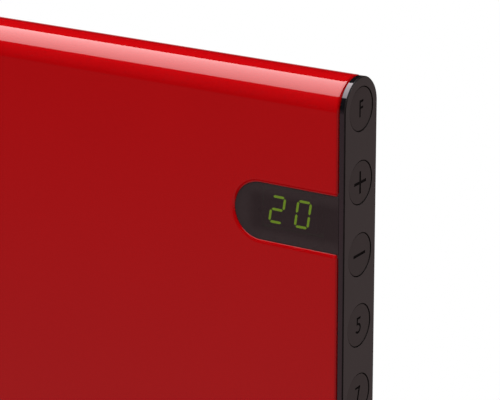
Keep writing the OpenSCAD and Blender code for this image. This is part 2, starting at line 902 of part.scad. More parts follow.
module sensor_lead() {
  x = (board_back + x_board) / 2;
  start = z_bot + skirt_in + sensor_head_h;
  color("white") tube(route([[sensor_x, y_mid, start], [sensor_x, y_mid, start + 14],
    [sensor_x - 1.5, y_mid, start + 34], [x + 1.5, y_mid, board_lo - 24], [x, y_mid, board_lo - 11],
    [x, y_mid, board_lo]], 3), sensor_lead_r);
}

// Where the leads start and end
rod_end = element_x1 + rod_over + pin_len;
far_end = element_x0 - rod_over - pin_len;
lead_tab_y = tab_y0 + 4;
lead_tab_z = cutout_z + tab_half;
lead_run_z = shield_hi + 5;

module neutral_lead() {
  color("royalblue") tube(route([[rod_end, element_y, element_z], [rod_end + 4, element_y, element_z],
    [rod_end + 8, element_y, element_z],
    [rod_end + 18, element_y, element_z + 2], [block_x - 6, y_mid - 0.5, element_z + 9],
    [block_x - 0.5, y_mid, element_z + 19], [block_x, y_mid, block_lo - 4],
    [block_x, y_mid, wire_top]]), lead_r);
}

module live_lead() {
  x = cutout_x + tab_x;
  color("saddlebrown") tube(route([[x, lead_tab_y, lead_tab_z], [x, lead_tab_y, lead_tab_z + 4],
    [x, lead_tab_y, lead_tab_z + 9],
    [x + 7, lead_tab_y, lead_run_z - 1], [x + 24, lead_tab_y, lead_run_z], [x + 74, lead_tab_y - 2, lead_run_z],
    [block_x0 - 17, wire_y[0] + 3, lead_run_z - 6], [block_x0 - 9, wire_y[0] + 1, block_lo - 2],
    [block_x0 - 4, wire_y[0], block_lo - 15], [block_x - 2.5, wire_y[0], block_lo - 19],
    [block_x, wire_y[0], block_lo - 9], [block_x, wire_y[0], wire_top]]), lead_r);
}

module link_lead() {
  x = cutout_x - tab_x;
  color("firebrick") tube(route([[far_end, element_y, element_z], [far_end - 3, element_y, element_z],
    [far_end - 6, element_y, element_z],
    [far_end - 10, element_y, element_z + 8], [far_end - 9, element_y + 4, element_z + 30],
    [far_end + 1, lead_tab_y, lead_run_z - 4], [far_end + 18, lead_tab_y, lead_run_z],
    [far_end + 120, lead_tab_y, lead_run_z], [far_end + 240, lead_tab_y, lead_run_z],
    [x - 30, lead_tab_y, lead_run_z], [x - 7, lead_tab_y, lead_run_z - 1], [x, lead_tab_y, lead_tab_z + 9],
    [x, lead_tab_y, lead_tab_z + 4], [x, lead_tab_y, lead_tab_z]]), lead_r);
}

module earth_lead() {
  y = panel_in - lead_r - 0.3;
  color("yellowgreen") tube(route([[lug_end, y, earth_z], [lug_end + 3, y, earth_z], [lug_end + 6, y, earth_z],
    [lug_end + 14, y - 3.5, earth_z + 7], [lug_end + 23, y - 9, earth_z + 20],
    [block_x - 2, wire_y[2] + 1, block_lo - 22], [block_x, wire_y[2], block_lo - 10],
    [block_x, wire_y[2], wire_top]]), lead_r);
}

module earth_screw() {
  color("gold") {
    rod_y(panel_in - lug_t, panel_in, earth_x, earth_z, lug_r);
    box([earth_x, panel_in - lug_t, earth_z - lug_r / 2], [lug_end, panel_in, earth_z + lug_r / 2]);
    rod_y(panel_in - lug_t - 3, panel_in - lug_t + eps, earth_x, earth_z, lug_r - 1);
    rod_y(panel_in - eps, panel_out + 4, earth_x, earth_z, screw_d / 2);
  }
}

// Cable entry

module cable_gland() {
  color("#222222") difference() {
    union() {
      rod_y(panel_in - gland_thread, panel_out, gland_x, gland_z, gland_r);
      rod_y(panel_out, panel_out + gland_flange_t, gland_x, gland_z, gland_flange_r);
    }
    rod_y(panel_in - gland_thread - 1, panel_out + gland_flange_t + 1, gland_x, gland_z, gland_bore_r);
  }
}

module gland_nut() {
  color("#222222") difference() {
    translate([gland_x, panel_in, gland_z]) rotate([90, 0, 0]) cylinder(h = nut_h, r = gland_flange_r, $fn = 6);
    rod_y(panel_in - nut_h - 1, panel_in + 1, gland_x, gland_z, gland_r + tap_gap);
  }
}

// Wall bracket

// Right-hand upright: wall flange, web with two hooks, and front flange
module upright() {
  t = bracket_t;
  half = upright_h / 2;
  difference() {
    union() {
      box([hook_x + t / 2 - wall_flange, -t, -half], [hook_x + t / 2, 0, half]);
      box([hook_x - t / 2, bracket_front, -half], [hook_x + t / 2, -t + eps, half]);
      box([hook_x - t / 2, bracket_front, -half], [hook_x + front_flange, bracket_front + t, half]);
      for (z = hook_levels) {
        box([hook_x - t / 2, hook_reach, z], [hook_x + t / 2, bracket_front + eps, z + hook_arm]);
        box([hook_x - t / 2, hook_reach, z], [hook_x + t / 2, hook_in, z + hook_arm + hook_tongue]);
      }
    }
    for (s = [-1, 1]) {
      rod_y(-t - 1, 1, screw_span_x / 2, s * screw_span_z / 2, wall_hole_d / 2);
      rod_y(-t - 1, 1, rivet_x, s * rivet_z, rivet_r + rivet_gap);
    }
  }
}

module bracket_upright_left() {
  color(zinc) mirror([1, 0, 0]) upright();
}

module bracket_upright_right() {
  color(zinc) upright();
}

module bracket_rail() {
  t = bracket_t;
  half = hook_x - t / 2 - 0.5;
  color(zinc) difference() {
    union() {
      box([-half, -2 * t, -rail_half_h], [half, -t, rail_half_h]);
      for (z = [-rail_half_h, rail_half_h - t]) box([-half, -2 * t - rail_lip, z], [half, -2 * t + eps, z + t]);
    }
    for (side = [-1, 1], s = [-1, 1]) rod_y(-2 * t - 1, 0, side * rivet_x, s * rivet_z, rivet_r + rivet_gap);
  }
}

module bracket_rivets() {
  t = bracket_t;
  color("silver") for (side = [-1, 1], s = [-1, 1]) {
    rod_y(-2 * t, -rivet_gap, side * rivet_x, s * rivet_z, rivet_r);
    rod_y(-2 * t - rivet_head_h, -2 * t, side * rivet_x, s * rivet_z, rivet_head_r);
  }
}

front_casing();
rear_panel();
casing_screws();
left_end_cap();
right_end_cap();
left_fascia();
control_fascia();
end_cap_screws();
key(0) legend_function();  // key_function
key(1) legend_plus();  // key_plus
key(2) legend_minus();  // key_minus
key(3) legend_five();  // key_five
key(4) legend_seven();  // key_seven
plunger(0);  // plunger_function
plunger(1);  // plunger_plus
plunger(2);  // plunger_minus
plunger(3);  // plunger_five
plunger(4);  // plunger_seven
control_board();
key_switches();
board_screws();
relay();
transformer();
capacitor();
terminal_block();
display_window();
display_module();
display_segments();
display_board();
display_header();
finned_element();
heating_rod();
ceramic_bushes();
element_terminals();
element_support_left();
element_support_right();
support_screws();
heat_shield();
front_baffle();
thermal_cutout();
cutout_screws();
room_sensor();
sensor_lead();
live_lead();
link_lead();
neutral_lead();
earth_lead();
earth_screw();
cable_gland();
gland_nut();
bracket_upright_left();
bracket_upright_right();
bracket_rail();
bracket_rivets();
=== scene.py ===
# %% [markdown]
# A red panel heater for the wall.
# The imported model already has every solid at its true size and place. This lesson dresses it: the
# surfaces that the eye meets first are modelled again with soft edges, and every other part gets a
# finish of its own.

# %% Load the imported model
import math

import bmesh
import bpy
from mathutils import Matrix, Vector


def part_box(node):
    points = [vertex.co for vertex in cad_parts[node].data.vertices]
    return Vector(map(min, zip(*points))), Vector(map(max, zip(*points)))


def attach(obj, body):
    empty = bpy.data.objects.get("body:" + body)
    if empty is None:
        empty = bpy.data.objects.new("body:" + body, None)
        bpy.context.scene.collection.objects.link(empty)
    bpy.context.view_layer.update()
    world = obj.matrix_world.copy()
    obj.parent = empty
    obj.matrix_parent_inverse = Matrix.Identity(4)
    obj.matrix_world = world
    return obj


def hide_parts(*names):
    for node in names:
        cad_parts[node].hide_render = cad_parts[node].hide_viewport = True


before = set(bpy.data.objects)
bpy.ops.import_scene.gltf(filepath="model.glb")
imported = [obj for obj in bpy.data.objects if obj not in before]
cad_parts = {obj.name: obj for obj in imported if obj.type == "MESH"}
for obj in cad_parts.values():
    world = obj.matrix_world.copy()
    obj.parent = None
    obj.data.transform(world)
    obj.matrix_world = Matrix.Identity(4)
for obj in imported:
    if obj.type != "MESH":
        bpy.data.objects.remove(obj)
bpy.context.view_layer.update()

# %% [markdown]
# Sizes.
# Each size could be typed again here, but then it could drift away from the solids. The boxes of the
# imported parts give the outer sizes, and only what a box can't tell is written down.

# %% Measure the body
mm = 0.001
casing_low, casing_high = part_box("front_casing")
x_case = casing_high.x
y_front, y_rear = casing_low.y, casing_high.y
z_bot, z_top = casing_low.z, casing_high.z
top_radius = (y_rear - y_front) / 2
y_mid = (y_front + y_rear) / 2
z_arc = z_top - top_radius
bottom_radius = 8 * mm
z_corner = z_bot + bottom_radius
print("casing, mm:", [round(v / mm, 1) for v in casing_high - casing_low])

# %% [markdown]
# From bmesh to piece.
# Every modelled piece ends the same way: the bmesh becomes a mesh, sharp edges are marked by their
# angle, and the object is tied to the body that carries it. Weighted normals keep big flat faces flat
# beside small round edges, which plain smooth shading would bend.

# %% Make a piece from a bmesh
def to_mesh(bm, name):
    """Turns a bmesh into a mesh and frees it."""
    mesh = bpy.data.meshes.new(name)
    bm.to_mesh(mesh)
    bm.free()
    return mesh


def into_scene(name, data):
    """Makes an object at the origin and links it into the scene."""
    made = bpy.data.objects.new(name, data)
    bpy.context.scene.collection.objects.link(made)
    return made


def add_piece(bm, name, body, node, crease=40):
    """Turns a bmesh into an object that rides on a body and stands for a CAD node."""
    mesh = to_mesh(bm, name)
    mesh.shade_smooth()
    mesh.set_sharp_from_angle(angle=math.radians(crease))
    piece = into_scene(name, mesh)
    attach(piece, body)
    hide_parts(node)
    print(name, "faces:", len(mesh.polygons))
    return piece


def keep_flats_flat(piece):
    """Lets the large faces decide the normals, so that only the small rounds look round."""
    weighted = piece.modifiers.new("Weighted_normals", "WEIGHTED_NORMAL")
    weighted.keep_sharp = True
    return piece


# %% [markdown]
# The outline of the body.
# Seen from the end, the heater is a tall slab with a half-round top and two small lower corners. One
# vertex is enough to start: spinning it draws a round, and an edge to the next place draws a straight
# side. The same helper, with an inset, draws the rims and plates that follow this outline further in.

# %% Draw the end outline
ROUND_STEPS = 64
CORNER_STEPS = 8
X_AXIS = (1, 0, 0)


def verts_in(geom):
    """Picks the vertices from what an operator made."""
    return [item for item in geom if isinstance(item, bmesh.types.BMVert)]


def edges_in(geom):
    """Picks the edges from what an operator made."""
    return [item for item in geom if isinstance(item, bmesh.types.BMEdge)]


def straight(bm, vert, place):
    """Draws an edge from a vertex to a place and returns the new vertex."""
    moved = bm.verts.new(place)
    bm.edges.new((vert, moved))
    return moved


def round_off(bm, vert, y, z, angle, steps):
    """Spins one vertex round a line along X and returns the last vertex."""
    centre = (vert.co.x, y, z)
    made = bmesh.ops.spin(bm, geom=[vert], cent=centre, axis=X_AXIS, angle=angle, steps=steps)
    return verts_in(made["geom_last"])[0]


def end_outline(bm, x, inset):
    """Draws the closed outline at a place along the width and returns its edges."""
    before = set(bm.edges)
    start = bm.verts.new((x, y_front + inset, z_arc))
    rear = round_off(bm, start, y_mid, z_arc, -math.pi, ROUND_STEPS)
    low = straight(bm, rear, (x, y_rear - inset, z_corner))
    low = round_off(bm, low, y_rear - bottom_radius, z_corner, -math.pi / 2, CORNER_STEPS)
    low = straight(bm, low, (x, y_front + bottom_radius, z_bot + inset))
    low = round_off(bm, low, y_front + bottom_radius, z_corner, -math.pi / 2, CORNER_STEPS)
    bm.edges.new((low, start))
    return [edge for edge in bm.edges if edge not in before]


trial = bmesh.new()
print("edges of the outline:", len(end_outline(trial, x_case, 0)))
trial.free()

# %% [markdown]
# The casing.
# The casing is one folded sheet of steel. It could be a box with rounded edges, but a folded sheet is
# easier to make the way the factory does: cut the flat front with its notch for the display, spin its
# upper edge over the top, fold the lips, and roll the two ends inwards. The thickness comes last,
# from a Solidify modifier.

# %% Cut the flat front with the display notch
window_low, window_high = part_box("display_window")
window_flange = 2.5 * mm
tab_z = (window_low.z + window_high.z) / 2
tab_half = (window_high.z - window_low.z) / 2 - window_flange
tab_centre_x = window_low.x + window_flange + tab_half
TAB_STEPS = 48
Y_AXIS = (0, 1, 0)

# How far the lip of the notch goes inwards and back at each step, in mm.
LIP_STEPS = [
    (0.52, 0.02), (1.04, 0.09), (1.55, 0.2), (2.05, 0.36), (2.54, 0.56),
    (2.67, 0.64), (2.79, 0.74), (2.92, 0.9), (3.02, 1.08),
]
notch_radius = tab_half + LIP_STEPS[-1][0] * mm
roll_length = 9 * mm
x_flat = x_case - roll_length


def round_tip(bm, vert):
    """Spins one vertex half round the middle of the display tab and returns the last vertex."""
    centre = (tab_centre_x, vert.co.y, tab_z)
    made = bmesh.ops.spin(bm, geom=[vert], cent=centre, axis=Y_AXIS, angle=math.pi, steps=TAB_STEPS)
    return verts_in(made["geom_last"])[0]


casing = bmesh.new()
corner_a = casing.verts.new((-x_flat, y_front, z_corner))
corner_b = straight(casing, corner_a, (x_flat, y_front, z_corner))
notch_a = straight(casing, corner_b, (x_flat, y_front, tab_z - notch_radius))
notch_b = straight(casing, notch_a, (tab_centre_x, y_front, tab_z - notch_radius))
notch_c = round_tip(casing, notch_b)
notch_d = straight(casing, notch_c, (x_flat, y_front, tab_z + notch_radius))
corner_c = straight(casing, notch_d, (x_flat, y_front, z_arc))
corner_d = straight(casing, corner_c, (-x_flat, y_front, z_arc))
casing.edges.new((corner_d, corner_a))
bmesh.ops.edgeloop_fill(casing, edges=casing.edges[:])
print("notch half height, mm:", round(tab_half / mm, 2))

# %% Spin the round top and fold the lips
rear_lip = 16 * mm
bottom_lip = 4 * mm


def extrude_rim(bm, edges):
    """Extrudes edges in place and returns the new vertices and the new edges."""
    made = bmesh.ops.extrude_edge_only(bm, edges=edges)["geom"]
    return verts_in(made), edges_in(made)


def fold(bm, edges, step):
    """Extrudes edges along a step."""
    moved, _ = extrude_rim(bm, edges)
    bmesh.ops.translate(bm, verts=moved, vec=step)


def spin_edge(bm, edge, y, z, angle, steps):
    """Spins one edge round a line along X and returns the last edge."""
    made = bmesh.ops.spin(
        bm, geom=[edge, *edge.verts], cent=(0, y, z), axis=X_AXIS, angle=angle, steps=steps
    )
    return edges_in(made["geom_last"])


top_edge = casing.edges.get((corner_c, corner_d))
rear_edge = spin_edge(casing, top_edge, y_mid, z_arc, -math.pi, ROUND_STEPS)
fold(casing, rear_edge, (0, 0, -rear_lip))
low_edge = casing.edges.get((corner_a, corner_b))
lip_edge = spin_edge(casing, low_edge, y_front + bottom_radius, z_corner, math.pi / 2, CORNER_STEPS)
fold(casing, lip_edge, (0, bottom_lip, 0))
print("casing sheet faces:", len(casing.faces))

# %% [markdown]
# The rolled ends.
# A cut sheet would show a hard line at the caps. The real ends are rolled a little inwards, which
# bends the long highlight just before the cap. Each step extrudes the open end, moves it outwards
# along the width and sinks it.

# %% Roll the two ends inwards
# Places closer than this, in metres, count as one.
NEAR = 1e-6

# How far each step is along the width from the flat sheet, and how deep under it, in mm.
ROLL_STEPS = [
    (2.3, 0.01), (5.3, 0.03), (5.95, 0.085), (6.55, 0.33),
    (7.07, 0.73), (7.47, 1.25), (7.71, 1.85), (7.79, 2.28),
]


def lies_at(edge, x):
    """True for an edge that lies at one place along the width."""
    return all(abs(vert.co.x - x) < NEAR for vert in edge.verts)


def inwards(place):
    """Direction from the sheet to the inside of the body, square to the sheet."""
    if place.z > z_arc:
        return Vector((0, y_mid - place.y, z_arc - place.z)).normalized()
    if place.y > y_mid:
        return Vector((0, -1, 0))
    if place.z > z_corner:
        return Vector((0, 1, 0))
    if place.y < y_front + bottom_radius:
        return Vector((0, y_front + bottom_radius - place.y, z_corner - place.z)).normalized()
    return Vector((0, 0, 1))


for side in (-1, 1):
    rim = [edge for edge in casing.edges if edge.is_boundary and lies_at(edge, side * x_flat)]
    before_sink = 0
    for along, sink in ROLL_STEPS:
        moved, rim = extrude_rim(casing, rim)
        for vert in moved:
            vert.co += inwards(vert.co) * (sink - before_sink) * mm
            vert.co.x = side * (x_flat + along * mm)
        before_sink = sink

print("casing faces with rolled ends:", len(casing.faces))

# %% [markdown]
# The lip of the notch.
# The edge of the notch is turned in as well, gently at first and then sharply. Its lower run faces
# the light and shows as a fine bright line under the display. Each step extrudes the boundary of the
# notch inwards and back.

# %% Turn in the edge of the notch
def on_notch(vert):
    """True for a vertex of the notch's edge, on its straight runs or on its round end."""
    across = abs(vert.co.z - tab_z)
    if vert.co.x < tab_centre_x:
        across = math.hypot(vert.co.x - tab_centre_x, across)
    return vert.co.y < y_mid and abs(across - notch_radius) < NEAR


def into_notch(place):
    """Direction from the notch's edge towards its middle."""
    if place.x < tab_centre_x - NEAR:
        return Vector((tab_centre_x - place.x, 0, tab_z - place.z)).normalized()
    return Vector((0, 0, math.copysign(1, tab_z - place.z)))


lip = [edge for edge in casing.edges if edge.is_boundary and all(map(on_notch, edge.verts))]
before_across, before_deep = 0, 0
for across, deep in LIP_STEPS:
    moved, lip = extrude_rim(casing, lip)
    for vert in moved:
        vert.co += into_notch(vert.co) * (across - before_across) * mm
        vert.co.y += (deep - before_deep) * mm
    before_across, before_deep = across, deep
print("casing faces with the lip:", len(casing.faces))

# %% Give the casing its thickness
sheet_thickness = 0.7 * mm


def agree_normals(bm):
    """Lets all the faces point the same way, which is outwards on a closed shape."""
    bmesh.ops.recalc_face_normals(bm, faces=bm.faces[:])


agree_normals(casing)
front = max(casing.faces, key=lambda face: face.calc_area())
if front.normal.y > 0:
    bmesh.ops.reverse_faces(casing, faces=casing.faces[:])
casing_shell = add_piece(casing, "casing_shell", "heater", "front_casing")

sheet = casing_shell.modifiers.new("Sheet_thickness", "SOLIDIFY")
sheet.thickness = sheet_thickness
sheet.offset = -1
keep_flats_flat(casing_shell)

# %% [markdown]
# The end caps.
# Each cap is a moulded tray: a skirt that slides into the casing, a glossy wall with a small bevel, a
# pocket for the fascia and a web behind it. Outlines at their own depth and inset are joined into a
# ring, and the web closes it. All the outlines are drawn by the same steps, so their edges pair up.
# Bridging would pair them by nearness, which can go wrong where two of them lie in one plane. On the
# control side the web has a hole behind every key. The rim is painted darker, a painted shade, the same
# as the sides of the plate in it.

# %% Measure the cap
KEYS = ("function", "plus", "minus", "five", "seven")
x_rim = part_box("right_end_cap")[1].x
x_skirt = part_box("right_end_cap")[0].x
x_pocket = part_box("control_fascia")[0].x
cap_bevel = 0.5 * mm
wall_overlap = 0.35 * mm
x_edge = x_rim - cap_bevel
x_wall = x_case - wall_overlap
set_back = 0.2 * mm
pocket_inset = 0.7 * mm
skirt_inset = 3.1 * mm
skirt_wall = 1 * mm
inner_inset = skirt_inset + skirt_wall
CAP_INSIDE = ((x_case, inner_inset), (x_skirt, inner_inset), (x_skirt, skirt_inset), (x_wall, skirt_inset))
CAP_WALL = ((x_wall, set_back), (x_edge, set_back), (x_rim, cap_bevel))
CAP_POCKET = ((x_rim, pocket_inset), (x_pocket, pocket_inset))


def key_centre_z(key):
    """Height of the middle of a key."""
    low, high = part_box("key_" + key)
    return (low.z + high.z) / 2


key_z = {key: key_centre_z(key) for key in KEYS}
print("key heights, mm:", [round(z / mm, 1) for z in key_z.values()])

# %% Join the outlines into a cap
# Material slot of the second finish, a painted shade for rims and sides.
SHADED_SIDE = 1
HOLE_STEPS = 96
web_hole_radius = 17.8 * mm
rim_round = 0.09 * mm


def end_circle(bm, x, z, radius):
    """Draws a circle that faces along the width and returns its edges."""
    place = Matrix.Translation((x, y_mid, z)) @ Matrix.Rotation(math.pi / 2, 4, "Y")
    made = bmesh.ops.create_circle(bm, segments=HOLE_STEPS, radius=radius, matrix=place)
    return list(dict.fromkeys(edge for vert in made["verts"] for edge in vert.link_edges))


def join_outlines(bm, outlines):
    """Joins outlines that were drawn alike into a tube, edge by edge."""
    for one, two in zip(outlines, outlines[1:]):
        for near, far in zip(one, two):
            bm.faces.new((near.verts[0], near.verts[1], far.verts[1], far.verts[0]))


def fill_flat(bm, edges):
    """Fills a flat outline, less the outlines inside it."""
    bmesh.ops.triangle_fill(bm, edges=edges, use_beauty=True, normal=X_AXIS)


def soften(bm, edges, width):
    """Rounds edges with a narrow bevel."""
    bmesh.ops.bevel(
        bm, geom=edges, offset=width, affect="EDGES", segments=3, profile=0.5, material=-1
    )


def make_cap(name, side, hole_zs):
    """Makes the tray of one end, with a hole in its web at each height."""
    bm = bmesh.new()
    inside, wall, pocket = (
        [end_outline(bm, side * x, inset) for x, inset in part]
        for part in (CAP_INSIDE, CAP_WALL, CAP_POCKET)
    )
    join_outlines(bm, inside + wall + pocket)
    back_holes = [end_circle(bm, side * x_case, z, web_hole_radius) for z in hole_zs]
    front_holes = [end_circle(bm, side * x_pocket, z, web_hole_radius) for z in hole_zs]
    for one, two in zip(back_holes, front_holes):
        bmesh.ops.bridge_loops(bm, edges=one + two)
    fill_flat(bm, inside[0] + sum(back_holes, []))
    fill_flat(bm, pocket[-1] + sum(front_holes, []))
    agree_normals(bm)
    soften(bm, sum(wall, []), rim_round)
    # Painted shade: the rim and its bevel take the darker side finish.
    for face in bm.faces:
        if abs(face.calc_center_median().x) > x_edge:
            face.material_index = SHADED_SIDE
    return keep_flats_flat(add_piece(bm, name + "_tray", "heater", name, crease=30))


right_cap = make_cap("right_end_cap", 1, list(key_z.values()))
left_cap = make_cap("left_end_cap", -1, [])

# %% [markdown]
# The fascias.
# A thin plate fills the pocket of each cap and stands a little proud of the rim. The outline and the
# key holes are filled as one flat face and extruded to the plate's thickness. A narrow bevel rounds
# each edge, and the sides are painted darker, a painted shade, because little light falls into the gaps.

# %% Make the two fascias
x_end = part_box("control_fascia")[1].x
fascia_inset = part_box("control_fascia")[0].y - y_front
key_hole_radius = 16.35 * mm
fascia_edge = 0.08 * mm

# Edges that turn by more than this, in radians, are rounded.
SHARP_TURN = 1

# A face whose normal has less than this along the width is a side.
FLAT_SHARE = 0.9


def thicken(bm, step):
    """Extrudes all the faces along a step, which leaves a closed plate."""
    made = bmesh.ops.extrude_face_region(bm, geom=bm.faces[:])["geom"]
    bmesh.ops.translate(bm, verts=verts_in(made), vec=step)
    agree_normals(bm)


def make_fascia(name, side, hole_zs):
    """Makes the plate of one end, with a key hole at each height."""
    bm = bmesh.new()
    rims = end_outline(bm, side * x_end, fascia_inset)
    for z in hole_zs:
        rims += end_circle(bm, side * x_end, z, key_hole_radius)
    fill_flat(bm, rims)
    thicken(bm, (side * (x_pocket - x_end), 0, 0))
    rims = [
        edge
        for edge in bm.edges
        if lies_at(edge, side * x_end) and edge.calc_face_angle(0) > SHARP_TURN
    ]
    soften(bm, rims, fascia_edge)
    # Painted shade: the sides of the plate take the darker side finish.
    for face in bm.faces:
        face.material_index = SHADED_SIDE if abs(face.normal.x) < FLAT_SHARE else 0
    return keep_flats_flat(add_piece(bm, name + "_plate", "heater", name))


control_fascia = make_fascia("control_fascia", 1, list(key_z.values()))
left_fascia = make_fascia("left_fascia", -1, [])

# %% [markdown]
# The legends.
# The signs on the keys are sunk into the plastic. Each one is a closed outline in millimetres, first
# across and then up, round the middle of its key. The bowl of the five is the only round part, and
# two arcs of points draw it.

# %% Write down the signs
STROKE = 1.7
SIGN_HALF = 8.3
SIGN_STROKE_HALF = 1.1
s, h = SIGN_STROKE_HALF, SIGN_HALF
SIGNS = {
    "function": [
        (-2.2, -5.9), (-0.5, -5.9), (-0.5, 0.1), (2.9, 0.1), (2.9, 1.8),
        (-0.5, 1.8), (-0.5, 4.7), (3.2, 4.7), (3.2, 6.4), (-2.2, 6.4),
    ],
    "plus": [
        (-s, -h), (s, -h), (s, -s), (h, -s), (h, s), (s, s),
        (s, h), (-s, h), (-s, s), (-h, s), (-h, -s), (-s, -s),
    ],
    "minus": [(-h, -s), (h, -s), (h, s), (-h, s)],
    "seven": [
        (-3.5, 6.3), (-3.5, 4.6), (1.02, 4.6), (-1.8, -6.2),
        (0.24, -6.2), (3.06, 4.6), (3.5, 4.6), (3.5, 6.3),
    ],
}
FIVE_LEFT, FIVE_RIGHT, FIVE_TOP = -2.6, 2.9, 6.3
FIVE_NECK = 0.4
BOWL_CENTRE = (-0.7, -2.1)
BOWL_RADIUS = 4
BOWL_STEPS = 28


def bowl(radius, start, end):
    """Points of an arc round the middle of the bowl, with both angles in degrees."""
    turn = [math.radians(start + (end - start) * i / BOWL_STEPS) for i in range(BOWL_STEPS + 1)]
    return [(BOWL_CENTRE[0] + radius * math.cos(t), BOWL_CENTRE[1] + radius * math.sin(t)) for t in turn]


SIGNS["five"] = [
    (FIVE_LEFT, FIVE_TOP),
    (FIVE_LEFT, FIVE_NECK),
    (FIVE_LEFT + STROKE, FIVE_NECK),
    *bowl(BOWL_RADIUS - STROKE, 95.0, -135.9),
    *bowl(BOWL_RADIUS, -156.4, 92.9),
    (FIVE_LEFT + STROKE, FIVE_TOP - STROKE),
    (FIVE_RIGHT, FIVE_TOP - STROKE),
    (FIVE_RIGHT, FIVE_TOP),
]
print("signs:", {key: len(points) for key, points in SIGNS.items()})

# %% [markdown]
# The keys.
# A key is a round disc with a wider lip behind the fascia and a stem that reaches the switch. The
# face is filled round the sign, the sign is pushed in, and the rim is extruded back in steps: side,
# lip and stem. The sides are painted as dark as the ink in the sign, a painted shade, so a fine dark
# line shows round each key.

# %% Make the five keys
key_radius = 15.85 * mm
key_edge = 0.4 * mm
sign_depth = 0.4 * mm
key_lip = 1.2 * mm
key_lip_thick = 1.2 * mm
lip_play = 0.1 * mm
x_lip = x_pocket - lip_play
x_lip_back = x_lip - key_lip_thick
stem_radius = 2.5 * mm

# Material slot of the ink in the signs, also a painted shade on the key sides.
INK_AND_SHADE = 1


def pull_back(bm, edges, x, grow, centre):
    """Extrudes a rim to a place along the width and scales it round the key's middle."""
    verts, edges = extrude_rim(bm, edges)
    for vert in verts:
        vert.co.x = x
    bmesh.ops.scale(bm, verts=verts, vec=(1, grow, grow), space=Matrix.Translation(-centre))
    return edges


def sink_sign(bm, sign):
    """Pushes the face inside a sign into the key and inks its floor."""
    face = bmesh.ops.edgeloop_fill(bm, edges=sign)["faces"]
    sunk = bmesh.ops.extrude_face_region(bm, geom=face)["geom"]
    bmesh.ops.translate(bm, verts=verts_in(sunk), vec=(-sign_depth, 0, 0))
    bmesh.ops.delete(bm, geom=face, context="FACES_ONLY")
    for item in sunk:
        if isinstance(item, bmesh.types.BMFace):
            item.material_index = INK_AND_SHADE


def make_key(key):
    """Makes one key with its sunk sign, side, lip and stem."""
    low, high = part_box("key_" + key)
    z_key = key_z[key]
    centre = Vector((0, y_mid, z_key))
    bm = bmesh.new()
    rim = end_circle(bm, high.x, z_key, key_radius)
    corners = [bm.verts.new((high.x, y_mid + across * mm, z_key + up * mm)) for across, up in SIGNS[key]]
    sign = [bm.edges.new((one, two)) for one, two in zip(corners, corners[1:] + corners[:1])]
    fill_flat(bm, rim + sign)
    sink_sign(bm, sign)
    side = pull_back(bm, rim, x_lip, 1, centre)
    lip = pull_back(bm, side, x_lip, (key_radius + key_lip) / key_radius, centre)
    lip = pull_back(bm, lip, x_lip_back, 1, centre)
    stem = pull_back(bm, lip, x_lip_back, stem_radius / (key_radius + key_lip), centre)
    stem = pull_back(bm, stem, low.x, 1, centre)
    bmesh.ops.edgeloop_fill(bm, edges=stem)
    agree_normals(bm)
    soften(bm, rim, key_edge)
    bm.normal_update()
    # Painted shade: the sides of the key, its lip and its stem take the ink.
    for face in bm.faces:
        if abs(face.normal.x) < FLAT_SHARE:
            face.material_index = INK_AND_SHADE
    return keep_flats_flat(add_piece(bm, "key_" + key + "_cap", key + "_key", "key_" + key))


keys = [make_key(key) for key in KEYS]

# %% [markdown]
# The display window.
# The window is a smoked plate with one round end that fills the notch in the casing. A wider flange
# holds it from behind, and two posts carry the display. Four outlines, two for the face and two for
# the flange, are joined.

# %% Join the outlines of the display window
window_gap = 0.15 * mm
window_edge = 0.3 * mm
face_thick = 0.6 * mm
flange_thick = 1.9 * mm
flange_short = 0.3 * mm
y_window = window_low.y
y_flange = y_window + face_thick
y_flange_back = y_flange + flange_thick
x_window = window_high.x
x_flange = x_window - flange_short
face_half = tab_half - window_gap
flange_half = tab_half + window_flange

# A face whose normal has less than this along the depth is a side.
PANE_SHARE = 0.99


def tab_outline(bm, y, half, right):
    """Draws the closed outline of the tab at a depth and returns its edges."""
    before = set(bm.edges)
    start = bm.verts.new((right, y, tab_z - half))
    low = straight(bm, start, (tab_centre_x, y, tab_z - half))
    high = straight(bm, round_tip(bm, low), (right, y, tab_z + half))
    bm.edges.new((high, start))
    return [edge for edge in bm.edges if edge not in before]


window = bmesh.new()
window_loops = [
    tab_outline(window, y_window, face_half, x_window),
    tab_outline(window, y_flange, face_half, x_window),
    tab_outline(window, y_flange, flange_half, x_flange),
    tab_outline(window, y_flange_back, flange_half, x_flange),
]
join_outlines(window, window_loops)
for loop in (window_loops[0], window_loops[-1]):
    bmesh.ops.edgeloop_fill(window, edges=loop)
agree_normals(window)
soften(window, window_loops[0], window_edge)
# Painted shade: the sides and rounded edge of the window take the darker side finish.
for face in window.faces:
    face.material_index = 0 if abs(face.normal.y) > PANE_SHARE else SHADED_SIDE
print("window faces:", len(window.faces))

# %% Stand the posts of the display on the flange
digits_low, digits_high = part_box("display_segments")
digits_middle = (digits_low + digits_high) / 2
POST_STEPS = 32
post_radius = 1.6 * mm
post_left, post_right = 25.2 * mm, 19.2 * mm
post_drop = 4 * mm
post_places = (
    (digits_middle.x - post_left, tab_z),
    (digits_middle.x + post_right, tab_z + tab_half - post_drop),
)
post_length = window_high.y - y_flange_back
for x, z in post_places:
    middle = Matrix.Translation((x, y_flange_back + post_length / 2, z))
    bmesh.ops.create_cone(
        window, cap_ends=True, segments=POST_STEPS, radius1=post_radius, radius2=post_radius,
        depth=post_length, matrix=middle @ Matrix.Rotation(math.pi / 2, 4, "X"),
    )
smoked_window = add_piece(window, "smoked_window", "heater", "display_window")
keep_flats_flat(smoked_window)

# %% [markdown]
# The lit digits.
# Seven bars make a digit, and the display lights five of them for a two and six for a nought. Each
# bar is a flat hexagon with pointed ends, extruded and leaned over with the whole digit. The bars are
# drawn a little wider than the lamps behind them, because the light spreads in the smoked plastic.

